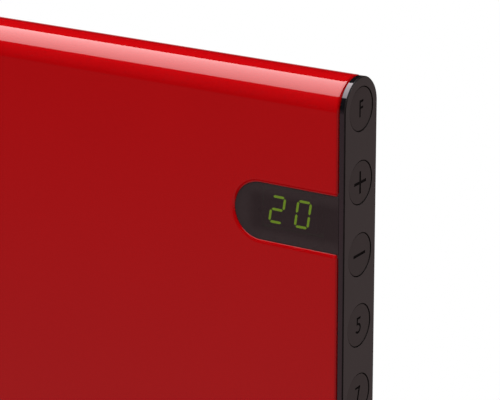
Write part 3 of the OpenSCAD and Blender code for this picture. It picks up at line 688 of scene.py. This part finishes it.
# %% Light the digits
digit_pitch = 21.4 * mm
digit_half = 6 * mm
lamp_width = 1.6 * mm
spread_out = 0.12 * mm
bar_width = lamp_width + 2 * spread_out
bar_gap = 0.6 * mm
half_w = digit_half + spread_out - bar_width / 2
half_h = (digits_high.z - digits_low.z) / 2 + spread_out - bar_width / 2
lean = math.tan(math.radians(8.5))
BARS = {
    "top": ((-half_w, half_h), (half_w, half_h)),
    "middle": ((-half_w, 0), (half_w, 0)),
    "bottom": ((-half_w, -half_h), (half_w, -half_h)),
    "upper_left": ((-half_w, 0), (-half_w, half_h)),
    "upper_right": ((half_w, 0), (half_w, half_h)),
    "lower_left": ((-half_w, -half_h), (-half_w, 0)),
    "lower_right": ((half_w, -half_h), (half_w, 0)),
}
SHOWN = (
    ("top", "upper_right", "middle", "lower_left", "bottom"),
    ("top", "upper_left", "upper_right", "lower_left", "lower_right", "bottom"),
)


def light_bar(bm, start, end, x_middle):
    """Adds one pointed bar of a digit as a flat face."""
    along = (Vector(end) - Vector(start)).normalized()
    across = Vector((-along.y, along.x)) * bar_width / 2
    start, end = Vector(start) + along * bar_gap, Vector(end) - along * bar_gap
    step = along * bar_width / 2
    outline = [
        start, start + step - across, end - step - across,
        end, end - step + across, start + step + across,
    ]
    bm.faces.new(
        [bm.verts.new((x_middle + x + z * lean, digits_high.y, digits_middle.z + z)) for x, z in outline]
    )


digits = bmesh.new()
for place, bars in zip((-0.5, 0.5), SHOWN):
    for bar in bars:
        light_bar(digits, *BARS[bar], digits_middle.x + place * digit_pitch)
thicken(digits, (0, digits_low.y - digits_high.y, 0))
lit_digits = add_piece(digits, "lit_digits", "heater", "display_segments")

# %% [markdown]
# Shared surface variation.
# No real surface has one even colour. This group mixes a slow drift of tone and gloss with a fine
# grain, so that each paint and plastic below only has to say how much of each it shows. A few helpers
# come first: they add, set and join nodes, and start a group with its named sockets.

# %% Write the helpers for nodes
# Sockets of a Mix node that mixes colours.
MIX_A, MIX_B, MIXED = 6, 7, 2


def add_node(tree, kind, x, y, **settings):
    """Adds a node at a place and sets its named settings."""
    made = tree.nodes.new(kind)
    made.location = (x, y)
    for name, value in settings.items():
        setattr(made, name, value)
    return made


def set_inputs(node, **values):
    """Sets a node's inputs, named with underscores for spaces."""
    for name, value in values.items():
        node.inputs[name.replace("_", " ")].default_value = value


def wire(tree, source, out, target, into):
    """Joins an output of one node to an input of another."""
    tree.links.new(source.outputs[out], target.inputs[into])


def new_group(name, inputs, outputs):
    """Starts a group with named sockets and returns it with its first and last node."""
    group = bpy.data.node_groups.new(name, "ShaderNodeTree")
    for label, (kind, value) in inputs.items():
        made = group.interface.new_socket(name=label, in_out="INPUT", socket_type="NodeSocket" + kind)
        made.default_value = value
    for label, kind in outputs.items():
        group.interface.new_socket(name=label, in_out="OUTPUT", socket_type="NodeSocket" + kind)
    return group, add_node(group, "NodeGroupInput", -800, 0), add_node(group, "NodeGroupOutput", 600, 0)


# %% Build the shared surface group
surface, group_in, group_out = new_group(
    "Surface_variation",
    {
        "Colour": ("Color", (0.5, 0.5, 0.5, 1)),
        "Tone drift": ("Float", 0.1),
        "Roughness": ("Float", 0.4),
        "Gloss drift": ("Float", 0.05),
        "Drift scale": ("Float", 20.0),
        "Grain scale": ("Float", 1500.0),
    },
    {"Colour": "Color", "Roughness": "Float", "Grain": "Float"},
)
place = add_node(surface, "ShaderNodeTexCoord", -800, 300)
drift = add_node(surface, "ShaderNodeTexNoise", -500, 300)
set_inputs(drift, Detail=3)
grain = add_node(surface, "ShaderNodeTexNoise", -500, -300)
set_inputs(grain, Detail=2)
wire(surface, place, "Object", drift, "Vector")
wire(surface, place, "Object", grain, "Vector")
wire(surface, group_in, "Drift scale", drift, "Scale")
wire(surface, group_in, "Grain scale", grain, "Scale")
centred = add_node(surface, "ShaderNodeMath", -250, 300, operation="SUBTRACT")
centred.inputs[1].default_value = 0.5
wire(surface, drift, "Fac", centred, 0)
tone = add_node(surface, "ShaderNodeMath", 0, 400, operation="MULTIPLY_ADD")
tone.inputs[2].default_value = 1
wire(surface, centred, "Value", tone, 0)
wire(surface, group_in, "Tone drift", tone, 1)
tinted = add_node(surface, "ShaderNodeVectorMath", 250, 300, operation="SCALE")
wire(surface, group_in, "Colour", tinted, 0)
wire(surface, tone, "Value", tinted, "Scale")
gloss = add_node(surface, "ShaderNodeMath", 0, 100, operation="MULTIPLY_ADD")
wire(surface, centred, "Value", gloss, 0)
wire(surface, group_in, "Gloss drift", gloss, 1)
wire(surface, group_in, "Roughness", gloss, 2)
wire(surface, tinted, "Vector", group_out, "Colour")
wire(surface, gloss, "Value", group_out, "Roughness")
wire(surface, grain, "Fac", group_out, "Grain")
print("surface group nodes:", len(surface.nodes))

# %% [markdown]
# Painted and moulded finishes.
# Paint, plastic and ceramic differ in how much they drift and how deep their grain is. One function
# places the group, feeds its colour, gloss and grain into a Principled shader and returns the
# material. What is the same all over a surface is set on the shader itself. The caps are painted
# darker on the round top and lighter below, a painted shade above and a painted reflection below, so
# a ramp on the height mixes two tones there.

# %% Write the functions for a moulded finish
def new_finish(name):
    """A node material with its Principled shader, ready to be wired."""
    material = bpy.data.materials.new(name)
    material.use_nodes = True
    tree = material.node_tree
    shader = next(node for node in tree.nodes if node.type == "BSDF_PRINCIPLED")
    return material, tree, shader


def place_skin(tree, shader, group, **values):
    """Places a group with its values and lets it feed the colour and roughness of a shader."""
    skin = add_node(tree, "ShaderNodeGroup", -550, 0, node_tree=group)
    set_inputs(skin, **values)
    wire(tree, skin, "Colour", shader, "Base Color")
    wire(tree, skin, "Roughness", shader, "Roughness")
    return skin


def add_bump(tree, shader, source, out, depth):
    """Lets a height pattern raise the surface by a depth in metres."""
    bump = add_node(tree, "ShaderNodeBump", -250, -300)
    set_inputs(bump, Strength=1, Distance=depth)
    wire(tree, source, out, bump, "Height")
    wire(tree, bump, "Normal", shader, "Normal")


def moulded(name, colour, rough, tone=0.12, gloss=0.05, drift=25, grain=1500, depth=0.02 * mm, **even):
    """A finish with drift and grain. What is even all over is set on the shader by name."""
    material, tree, shader = new_finish(name)
    skin = place_skin(
        tree, shader, surface, Colour=(*colour, 1), Tone_drift=tone, Roughness=rough, Gloss_drift=gloss,
        Drift_scale=drift, Grain_scale=grain,
    )
    add_bump(tree, shader, skin, "Grain", depth)
    set_inputs(shader, **even)
    return material


def object_axes(tree):
    """Gives the three coordinates of the shaded place."""
    place = add_node(tree, "ShaderNodeTexCoord", -1400, -700)
    axes = add_node(tree, "ShaderNodeSeparateXYZ", -1200, -700)
    wire(tree, place, "Object", axes, "Vector")
    return axes


def ramp(tree, source, out, start, end, low=0, high=1):
    """Goes from a low to a high value while its source goes from a start to an end."""
    made = add_node(tree, "ShaderNodeMapRange", -600, -700)
    set_inputs(made, From_Min=start, From_Max=end, To_Min=low, To_Max=high)
    wire(tree, source, out, made, "Value")
    return made


def two_tones(tree, source, out, first, second):
    """Lets a ramp change the colour of a moulded finish from one tone to another."""
    tint = add_node(tree, "ShaderNodeMix", -750, 0, data_type="RGBA")
    tint.inputs[MIX_A].default_value = (*first, 1)
    tint.inputs[MIX_B].default_value = (*second, 1)
    wire(tree, source, out, tint, "Factor")
    skin = next(node for node in tree.nodes if node.type == "GROUP")
    wire(tree, tint, MIXED, skin, "Colour")


# %% Mix the painted and moulded finishes
painted_shade_height = 4 * mm
BLACK_GLOSS_TINT = (1, 0.88, 0.95, 1)
finishes = {
    "casing_paint": moulded(
        "Red_enamel", (0.235, 0.001, 0.0018), 0.05, tone=0.05, gloss=0.02, drift=12, grain=350,
        depth=0.0005 * mm,
    ),
    "cap_plastic": moulded(
        "Gloss_black_plastic", (0.01, 0.007, 0.008), 0.08, grain=600, depth=0.001 * mm,
        IOR=1.66, Specular_Tint=BLACK_GLOSS_TINT,
    ),
    "fascia_plastic": moulded("Satin_black_plastic", (0.009, 0.0055, 0.0055), 0.4, grain=2500),
    "key_plastic": moulded(
        "Key_plastic", (0.009, 0.0045, 0.004), 0.42, grain=2500, Specular_IOR_Level=0.42
    ),
    "plunger_plastic": moulded("Plunger_nylon", (0.72, 0.68, 0.58), 0.45),
    "module_plastic": moulded("Module_black", (0.012, 0.011, 0.011), 0.6),
    "component_black": moulded("Component_black", (0.02, 0.02, 0.022), 0.5),
    "transformer_tape": moulded("Transformer_tape", (0.72, 0.52, 0.08), 0.35),
    "block_plastic": moulded("Terminal_nylon", (0.68, 0.68, 0.64), 0.45),
    "bush_ceramic": moulded("Bush_ceramic", (0.74, 0.7, 0.62), 0.55, grain=900),
    "cutout_plastic": moulded("Cutout_phenolic", (0.06, 0.045, 0.035), 0.4),
    "sensor_plastic": moulded("Sensor_plastic", (0.3, 0.3, 0.3), 0.5),
    "gland_plastic": moulded("Gland_nylon", (0.025, 0.025, 0.027), 0.5, grain=1200),
}
LEADS = {
    "white": (0.7, 0.7, 0.68),
    "brown": (0.14, 0.06, 0.025),
    "red": (0.45, 0.03, 0.025),
    "blue": (0.04, 0.1, 0.4),
    "green": (0.3, 0.42, 0.05),
}
for lead, colour in LEADS.items():
    finishes["lead_" + lead] = moulded("Lead_" + lead, colour, 0.45, grain=1800)

# Painted shade and painted reflection: the cap is darker on the round top and lighter below.
tree = finishes["cap_plastic"].node_tree
painted_top_shade = ramp(tree, object_axes(tree), "Z", z_arc, z_arc + painted_shade_height)
two_tones(tree, painted_top_shade, "Result", (0.015, 0.0095, 0.011), (0.003, 0.0025, 0.003))
print("moulded finishes:", len(finishes))

# %% [markdown]
# Bare metals.
# Zinc-coated sheet shows crystals of slightly different grey, so a Voronoi pattern gives each cell
# its own tone and gloss. Drawn and turned metals show fine lines instead, from a noise that is
# stretched along the piece.

# %% Build the zinc crystals
def dark_to_light(group, group_in, group_out, source, out):
    """Lets a pattern mix the group's dark and light colours."""
    blend = add_node(group, "ShaderNodeMix", 0, 200, data_type="RGBA")
    wire(group, source, out, blend, "Factor")
    wire(group, group_in, "Dark", blend, MIX_A)
    wire(group, group_in, "Light", blend, MIX_B)
    wire(group, blend, MIXED, group_out, "Colour")


crystals, group_in, group_out = new_group(
    "Zinc_crystals",
    {
        "Scale": ("Float", 120.0),
        "Dark": ("Color", (0.42, 0.43, 0.45, 1)),
        "Light": ("Color", (0.6, 0.61, 0.63, 1)),
    },
    {"Colour": "Color", "Roughness": "Float"},
)
place = add_node(crystals, "ShaderNodeTexCoord", -800, 300)
cells = add_node(crystals, "ShaderNodeTexVoronoi", -550, 200)
wire(crystals, place, "Object", cells, "Vector")
wire(crystals, group_in, "Scale", cells, "Scale")
split = add_node(crystals, "ShaderNodeSeparateColor", -300, 200)
wire(crystals, cells, "Color", split, "Color")
dark_to_light(crystals, group_in, group_out, split, "Red")
wire(crystals, ramp(crystals, split, "Green", 0, 1, 0.32, 0.5), "Result", group_out, "Roughness")
print("crystal group nodes:", len(crystals.nodes))

# %% Build the drawn lines
lines, group_in, group_out = new_group(
    "Drawn_lines",
    {
        "Stretch": ("Vector", (1.0, 1.0, 1.0)),
        "Scale": ("Float", 400.0),
        "Dark": ("Color", (0.4, 0.4, 0.41, 1)),
        "Light": ("Color", (0.6, 0.6, 0.61, 1)),
    },
    {"Colour": "Color", "Roughness": "Float", "Height": "Float"},
)
place = add_node(lines, "ShaderNodeTexCoord", -800, 300)
stretch = add_node(lines, "ShaderNodeVectorMath", -550, 200, operation="MULTIPLY")
wire(lines, place, "Object", stretch, 0)
wire(lines, group_in, "Stretch", stretch, 1)
streaks = add_node(lines, "ShaderNodeTexNoise", -300, 200)
set_inputs(streaks, Detail=4)
wire(lines, stretch, "Vector", streaks, "Vector")
wire(lines, group_in, "Scale", streaks, "Scale")
dark_to_light(lines, group_in, group_out, streaks, "Fac")
wire(lines, ramp(lines, streaks, "Fac", 0, 1, 0.22, 0.42), "Result", group_out, "Roughness")
wire(lines, streaks, "Fac", group_out, "Height")
print("line group nodes:", len(lines.nodes))

# %% Mix the metal finishes
line_depth = 0.01 * mm
ALONG_X = (0.05, 1, 1)


def zinc(name, scale):
    """Sheet steel under a coat of zinc."""
    material, tree, shader = new_finish(name)
    place_skin(tree, shader, crystals, Scale=scale)
    set_inputs(shader, Metallic=0.9)
    return material


def drawn(name, dark, light, stretch, scale=400):
    """A metal with fine lines from its drawing, rolling or turning."""
    material, tree, shader = new_finish(name)
    skin = place_skin(
        tree, shader, lines, Stretch=stretch, Scale=scale, Dark=(*dark, 1), Light=(*light, 1)
    )
    set_inputs(shader, Metallic=1)
    add_bump(tree, shader, skin, "Height", line_depth)
    return material


finishes |= {
    "zinc_steel": zinc("Zinc_sheet", 140),
    "screw_steel": drawn("Plated_screw", (0.45, 0.44, 0.42), (0.68, 0.67, 0.64), (1, 0.3, 1), 900),
    "fin_aluminium": drawn("Drawn_aluminium", (0.55, 0.56, 0.57), (0.78, 0.79, 0.8), ALONG_X),
    "shield_aluminium": drawn("Rolled_aluminium", (0.6, 0.61, 0.62), (0.82, 0.83, 0.84), ALONG_X),
    "rod_steel": drawn("Heater_rod", (0.12, 0.11, 0.1), (0.26, 0.24, 0.22), ALONG_X),
    "terminal_brass": drawn("Terminal_brass", (0.5, 0.35, 0.14), (0.72, 0.54, 0.26), (0.1, 1, 1), 700),
}
print("finishes with metals:", len(finishes))

# %% [markdown]
# Board, window, ink and light.
# The last finishes are special. The board shows faint copper tracks under green lacquer. The window
# lets part of the light through and is painted a little darker in front of the display, a painted
# shade for the dark module seen through it, so two ramps mark out that area. The ink in the signs is
# plain black with a dry grain, and also paints shade on the key sides. The digits give light themselves.

# %% Lacquer the boards
finishes["circuit_board"], tree, shader = new_finish("Green_board")
place = add_node(tree, "ShaderNodeTexCoord", -900, 0)
tracks = add_node(tree, "ShaderNodeTexBrick", -650, 0)
set_inputs(
    tracks, Scale=160, Color1=(0.01, 0.09, 0.035, 1), Color2=(0.012, 0.11, 0.04, 1),
    Mortar=(0.05, 0.2, 0.08, 1),
)
wire(tree, place, "Object", tracks, "Vector")
wire(tree, tracks, "Color", shader, "Base Color")
set_inputs(shader, Roughness=0.3)
print("board nodes:", len(tree.nodes))

# %% Smoke the window
pane_offset = 13 * mm
pane_inner, pane_outer = 11 * mm, 17 * mm
pane_fade = 4 * mm
x_pane = window_low.x + window_flange + pane_offset
finishes["window_plastic"] = moulded(
    "Smoked_window", (0.03, 0.02, 0.021), 0.12, tone=0.1, gloss=0.02, grain=500, depth=0.001 * mm,
    Alpha=0.62,
)
tree = finishes["window_plastic"].node_tree
axes = object_axes(tree)
up = add_node(tree, "ShaderNodeMath", -1000, -800, operation="SUBTRACT")
up.inputs[1].default_value = tab_z
wire(tree, axes, "Z", up, 0)
away = add_node(tree, "ShaderNodeMath", -800, -800, operation="ABSOLUTE")
wire(tree, up, "Value", away, 0)
painted_pane_shade = add_node(tree, "ShaderNodeMath", -400, -700, operation="MULTIPLY")
wire(tree, ramp(tree, away, "Value", pane_outer, pane_inner), "Result", painted_pane_shade, 0)
wire(tree, ramp(tree, axes, "X", x_pane - pane_fade, x_pane + pane_fade), "Result", painted_pane_shade, 1)
# Painted shade: the area in front of the display is darker, for the dark module seen through it.
two_tones(tree, painted_pane_shade, "Value", (0.029, 0.0195, 0.0205), (0.0205, 0.013, 0.014))
print("window nodes:", len(tree.nodes))

# %% Light the segments and mix the ink
finishes["segment_light"], tree, shader = new_finish("Lit_segment")
place = add_node(tree, "ShaderNodeTexCoord", -900, 0)
flicker = add_node(tree, "ShaderNodeTexNoise", -650, 0)
set_inputs(flicker, Scale=180)
wire(tree, place, "Object", flicker, "Vector")
glow = add_node(tree, "ShaderNodeMix", -300, 0, data_type="RGBA")
glow.inputs[MIX_A].default_value = (0.27, 0.5, 0.0, 1)
glow.inputs[MIX_B].default_value = (0.34, 0.6, 0.005, 1)
wire(tree, flicker, "Fac", glow, "Factor")
wire(tree, glow, MIXED, shader, "Base Color")
wire(tree, glow, MIXED, shader, "Emission Color")
set_inputs(shader, Emission_Strength=2.0)

# The ink also paints shade on the sides of the keys.
ink_and_side_shade = moulded("Sign_ink_and_side_shade", (0.002, 0.0015, 0.0015), 0.7, tone=0.2, Specular_IOR_Level=0.1)
# Painted shade for rims, sides and gaps, darker than the plastic round them.
painted_side_shade = moulded("Painted_side_shade", (0.007, 0.005, 0.005), 0.6, Specular_IOR_Level=0.2)
print("all finishes:", len(finishes))

# %% [markdown]
# Dress every part.
# The new pieces take the finish of their slot, and a second one for their sides or signs: painted
# shade on the sides, ink in the signs. The packed parts that stay keep their meshes and only change
# what is in their material slot.

# %% Put the finishes on the new pieces
def dress(piece, *materials):
    """Puts materials into the slots of a piece, in order."""
    for material in materials:
        piece.data.materials.append(material)


dress(casing_shell, finishes["casing_paint"])
for cap in (right_cap, left_cap):
    dress(cap, finishes["cap_plastic"], painted_side_shade)
for fascia in (control_fascia, left_fascia):
    dress(fascia, finishes["fascia_plastic"], painted_side_shade)
for key in keys:
    dress(key, finishes["key_plastic"], ink_and_side_shade)
dress(smoked_window, finishes["window_plastic"], painted_side_shade)
dress(lit_digits, finishes["segment_light"])
print("keys dressed:", len(keys))

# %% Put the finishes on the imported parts
SLOT_NODES = {
    "zinc_steel": (
        "rear_panel", "element_support_left", "element_support_right", "front_baffle",
        "bracket_upright_left", "bracket_upright_right", "bracket_rail",
    ),
    "screw_steel": (
        "casing_screws", "end_cap_screws", "board_screws", "support_screws", "cutout_screws",
        "bracket_rivets",
    ),
    "plunger_plastic": tuple("plunger_" + key for key in KEYS),
    "module_plastic": ("display_module",),
    "circuit_board": ("control_board", "display_board"),
    "component_black": ("key_switches", "relay", "capacitor", "display_header"),
    "transformer_tape": ("transformer",),
    "block_plastic": ("terminal_block",),
    "fin_aluminium": ("finned_element",),
    "rod_steel": ("heating_rod",),
    "bush_ceramic": ("ceramic_bushes",),
    "terminal_brass": ("element_terminals", "earth_screw"),
    "shield_aluminium": ("heat_shield",),
    "cutout_plastic": ("thermal_cutout",),
    "sensor_plastic": ("room_sensor",),
    "gland_plastic": ("cable_gland", "gland_nut"),
    "lead_white": ("sensor_lead",),
    "lead_brown": ("live_lead",),
    "lead_red": ("link_lead",),
    "lead_blue": ("neutral_lead",),
    "lead_green": ("earth_lead",),
}
for slot, names in SLOT_NODES.items():
    for name in names:
        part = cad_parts[name]
        part.data.materials.clear()
        dress(part, finishes[slot])
print("packed parts dressed:", sum(len(names) for names in SLOT_NODES.values()))

# %% [markdown]
# The studio.
# A heater like this is lit by one long soft box overhead, which draws the bright band on the round
# top. The room in front stays dark, or the glossy front would turn pink. Two wide suns fill the
# shadows, and no gloss reflects them.

# %% Hang the long soft box
BOX_HEIGHT = 1.05
BOX_X = (-1.9, 0.9)
BOX_Y = (-1.05, 0.21)

# Strength at the front edge and at the rear edge.
BOX_STRENGTH = (3.75, 6.35)


def only_shader(tree, shader, out):
    """Sends one shader to the end of a material."""
    ending = next(node for node in tree.nodes if node.type == "OUTPUT_MATERIAL")
    wire(tree, shader, out, ending, "Surface")


box_bm = bmesh.new()
box_bm.faces.new(
    [box_bm.verts.new((BOX_X[i], BOX_Y[j], BOX_HEIGHT)) for i, j in ((0, 0), (0, 1), (1, 1), (1, 0))]
)
soft_box = into_scene("soft_box", to_mesh(box_bm, "soft_box"))
soft_box.visible_camera = False

cloth, tree, shader = new_finish("Soft_box_cloth")
tree.nodes.remove(shader)
fade = ramp(tree, object_axes(tree), "Y", *BOX_Y, *BOX_STRENGTH)
shine = add_node(tree, "ShaderNodeEmission", -200, 0)
wire(tree, fade, "Result", shine, "Strength")
only_shader(tree, shine, "Emission")
dress(soft_box, cloth)
print("soft box over the heater, m:", BOX_HEIGHT)

# %% Fill the shadows
SUN_WIDTH = 40
SUNS = {
    "Fill": (3.05, (-0.4, -0.88, 0.25)),
    "Rear_fill": (1.5, (-0.5, 0.8, 0.2)),
}
for name, (strength, comes_from) in SUNS.items():
    light = bpy.data.lights.new(name, "SUN")
    light.energy = strength
    light.angle = math.radians(SUN_WIDTH)
    sun = into_scene(name, light)
    sun.rotation_mode = "QUATERNION"
    sun.rotation_quaternion = Vector(comes_from).to_track_quat("Z", "Y")
    sun.visible_glossy = False
print("suns:", list(SUNS))

# %% [markdown]
# The floor and the room.
# The floor and the background are white for the camera only, so they don't wash out the colour. What
# the gloss reflects is a faint warm glow of the room: from the table below, from the right and from
# behind. Each glow is a product of ramps along the direction of the ray, and the brightest of them
# counts.

# %% Lay the pale floor
FLOOR_Z = -0.32
FLOOR_HALF = 6


def camera_sees(tree, others, others_out, seen, seen_out):
    """Mixes two shaders: one for what the camera sees, the other for all other rays."""
    eye = add_node(tree, "ShaderNodeLightPath", -300, 300)
    mix = add_node(tree, "ShaderNodeMixShader", 200, 100)
    wire(tree, eye, "Is Camera Ray", mix, 0)
    wire(tree, others, others_out, mix, 1)
    wire(tree, seen, seen_out, mix, 2)
    return mix


floor_bm = bmesh.new()
bmesh.ops.create_grid(
    floor_bm, x_segments=1, y_segments=1, size=FLOOR_HALF, matrix=Matrix.Translation((0, 0, FLOOR_Z))
)
floor = into_scene("floor", to_mesh(floor_bm, "floor"))

pale, tree, shader = new_finish("Pale_floor")
tree.nodes.remove(shader)
clear = add_node(tree, "ShaderNodeBsdfTransparent", -100, 100)
white = add_node(tree, "ShaderNodeEmission", -100, -300)
only_shader(tree, camera_sees(tree, clear, "BSDF", white, "Emission"), "Shader")
dress(floor, pale)
print("floor, m:", FLOOR_Z)

# %% Light the room
ROOM_COLOUR = (1, 0.78, 0.775, 1)
world = bpy.data.worlds.new("Studio")
world.use_nodes = True
bpy.context.scene.world = world
room = world.node_tree
room.nodes.clear()
way = add_node(room, "ShaderNodeTexCoord", -1300, 0)
axes = add_node(room, "ShaderNodeSeparateXYZ", -1100, 0)
wire(room, way, "Generated", axes, "Vector")


def glow_along(axis, start, end, strength=1):
    """Brightness that rises from none to a strength between two places along a direction's axis."""
    return ramp(room, axes, axis, start, end, 0, strength)


def combine(operation, one, two):
    """Joins two glows with a Math node."""
    made = add_node(room, "ShaderNodeMath", -600, 0, operation=operation)
    wire(room, one, 0, made, 0)
    wire(room, two, 0, made, 1)
    return made


table_glow = combine("MULTIPLY", glow_along("Z", -0.2, -0.45, 0.33), glow_along("Z", -0.52, -0.42))
table_glow = combine("MAXIMUM", table_glow, glow_along("Z", -0.68, -0.82, 0.5))
right_front = combine("MULTIPLY", glow_along("X", 0.3, 0.7, 0.32), glow_along("Z", 0, -0.15))
right_back = combine("MULTIPLY", glow_along("X", 0.1, 0.5, 0.64), glow_along("Z", 0.15, -0.1))
right_back = combine("MULTIPLY", right_back, glow_along("Y", 0, 0.4))
right_glow = combine("MAXIMUM", right_front, right_back)
back_glow = combine("MULTIPLY", glow_along("Y", 0.3, 0.6, 0.6), glow_along("Z", 0.12, 0))
back_glow = combine("MULTIPLY", back_glow, glow_along("X", -0.36, -0.46))
room_glow = combine("MAXIMUM", table_glow, combine("MAXIMUM", right_glow, back_glow))
dim = add_node(room, "ShaderNodeBackground", -300, 0)
set_inputs(dim, Color=ROOM_COLOUR)
wire(room, room_glow, 0, dim, "Strength")
white = add_node(room, "ShaderNodeBackground", -300, -200)
set_inputs(white, Color=(1, 1, 1, 1))
ending = add_node(room, "ShaderNodeOutputWorld", 200, 0)
wire(room, camera_sees(room, dim, "Background", white, "Background"), "Shader", ending, "Surface")
bpy.context.scene.view_settings.view_transform = "Standard"
print("room nodes:", len(room.nodes))

# %% [markdown]
# The camera.
# The photograph was taken with a long lens from the upper right. The angles below were fitted to the
# edges of the cap, the keys and the display, so the model falls on the same places in the picture.

# %% Set up the camera
YAW, PITCH, ROLL = (math.radians(angle) for angle in (32.5, 18.48, -0.22))
CAMERA_PLACE = (1.0809, -1.4264, 0.6215)
camera_data = bpy.data.cameras.new("Camera")
camera_data.sensor_width = 36
camera_data.lens = 169.4
camera = into_scene("Camera", camera_data)
bpy.context.scene.camera = camera
aim = Matrix.Rotation(YAW, 4, "Z") @ Matrix.Rotation(math.pi / 2 - PITCH, 4, "X")
camera.matrix_world = Matrix.Translation(CAMERA_PLACE) @ aim @ Matrix.Rotation(ROLL, 4, "Z")
print("camera, m:", [round(v, 3) for v in camera.matrix_world.translation])
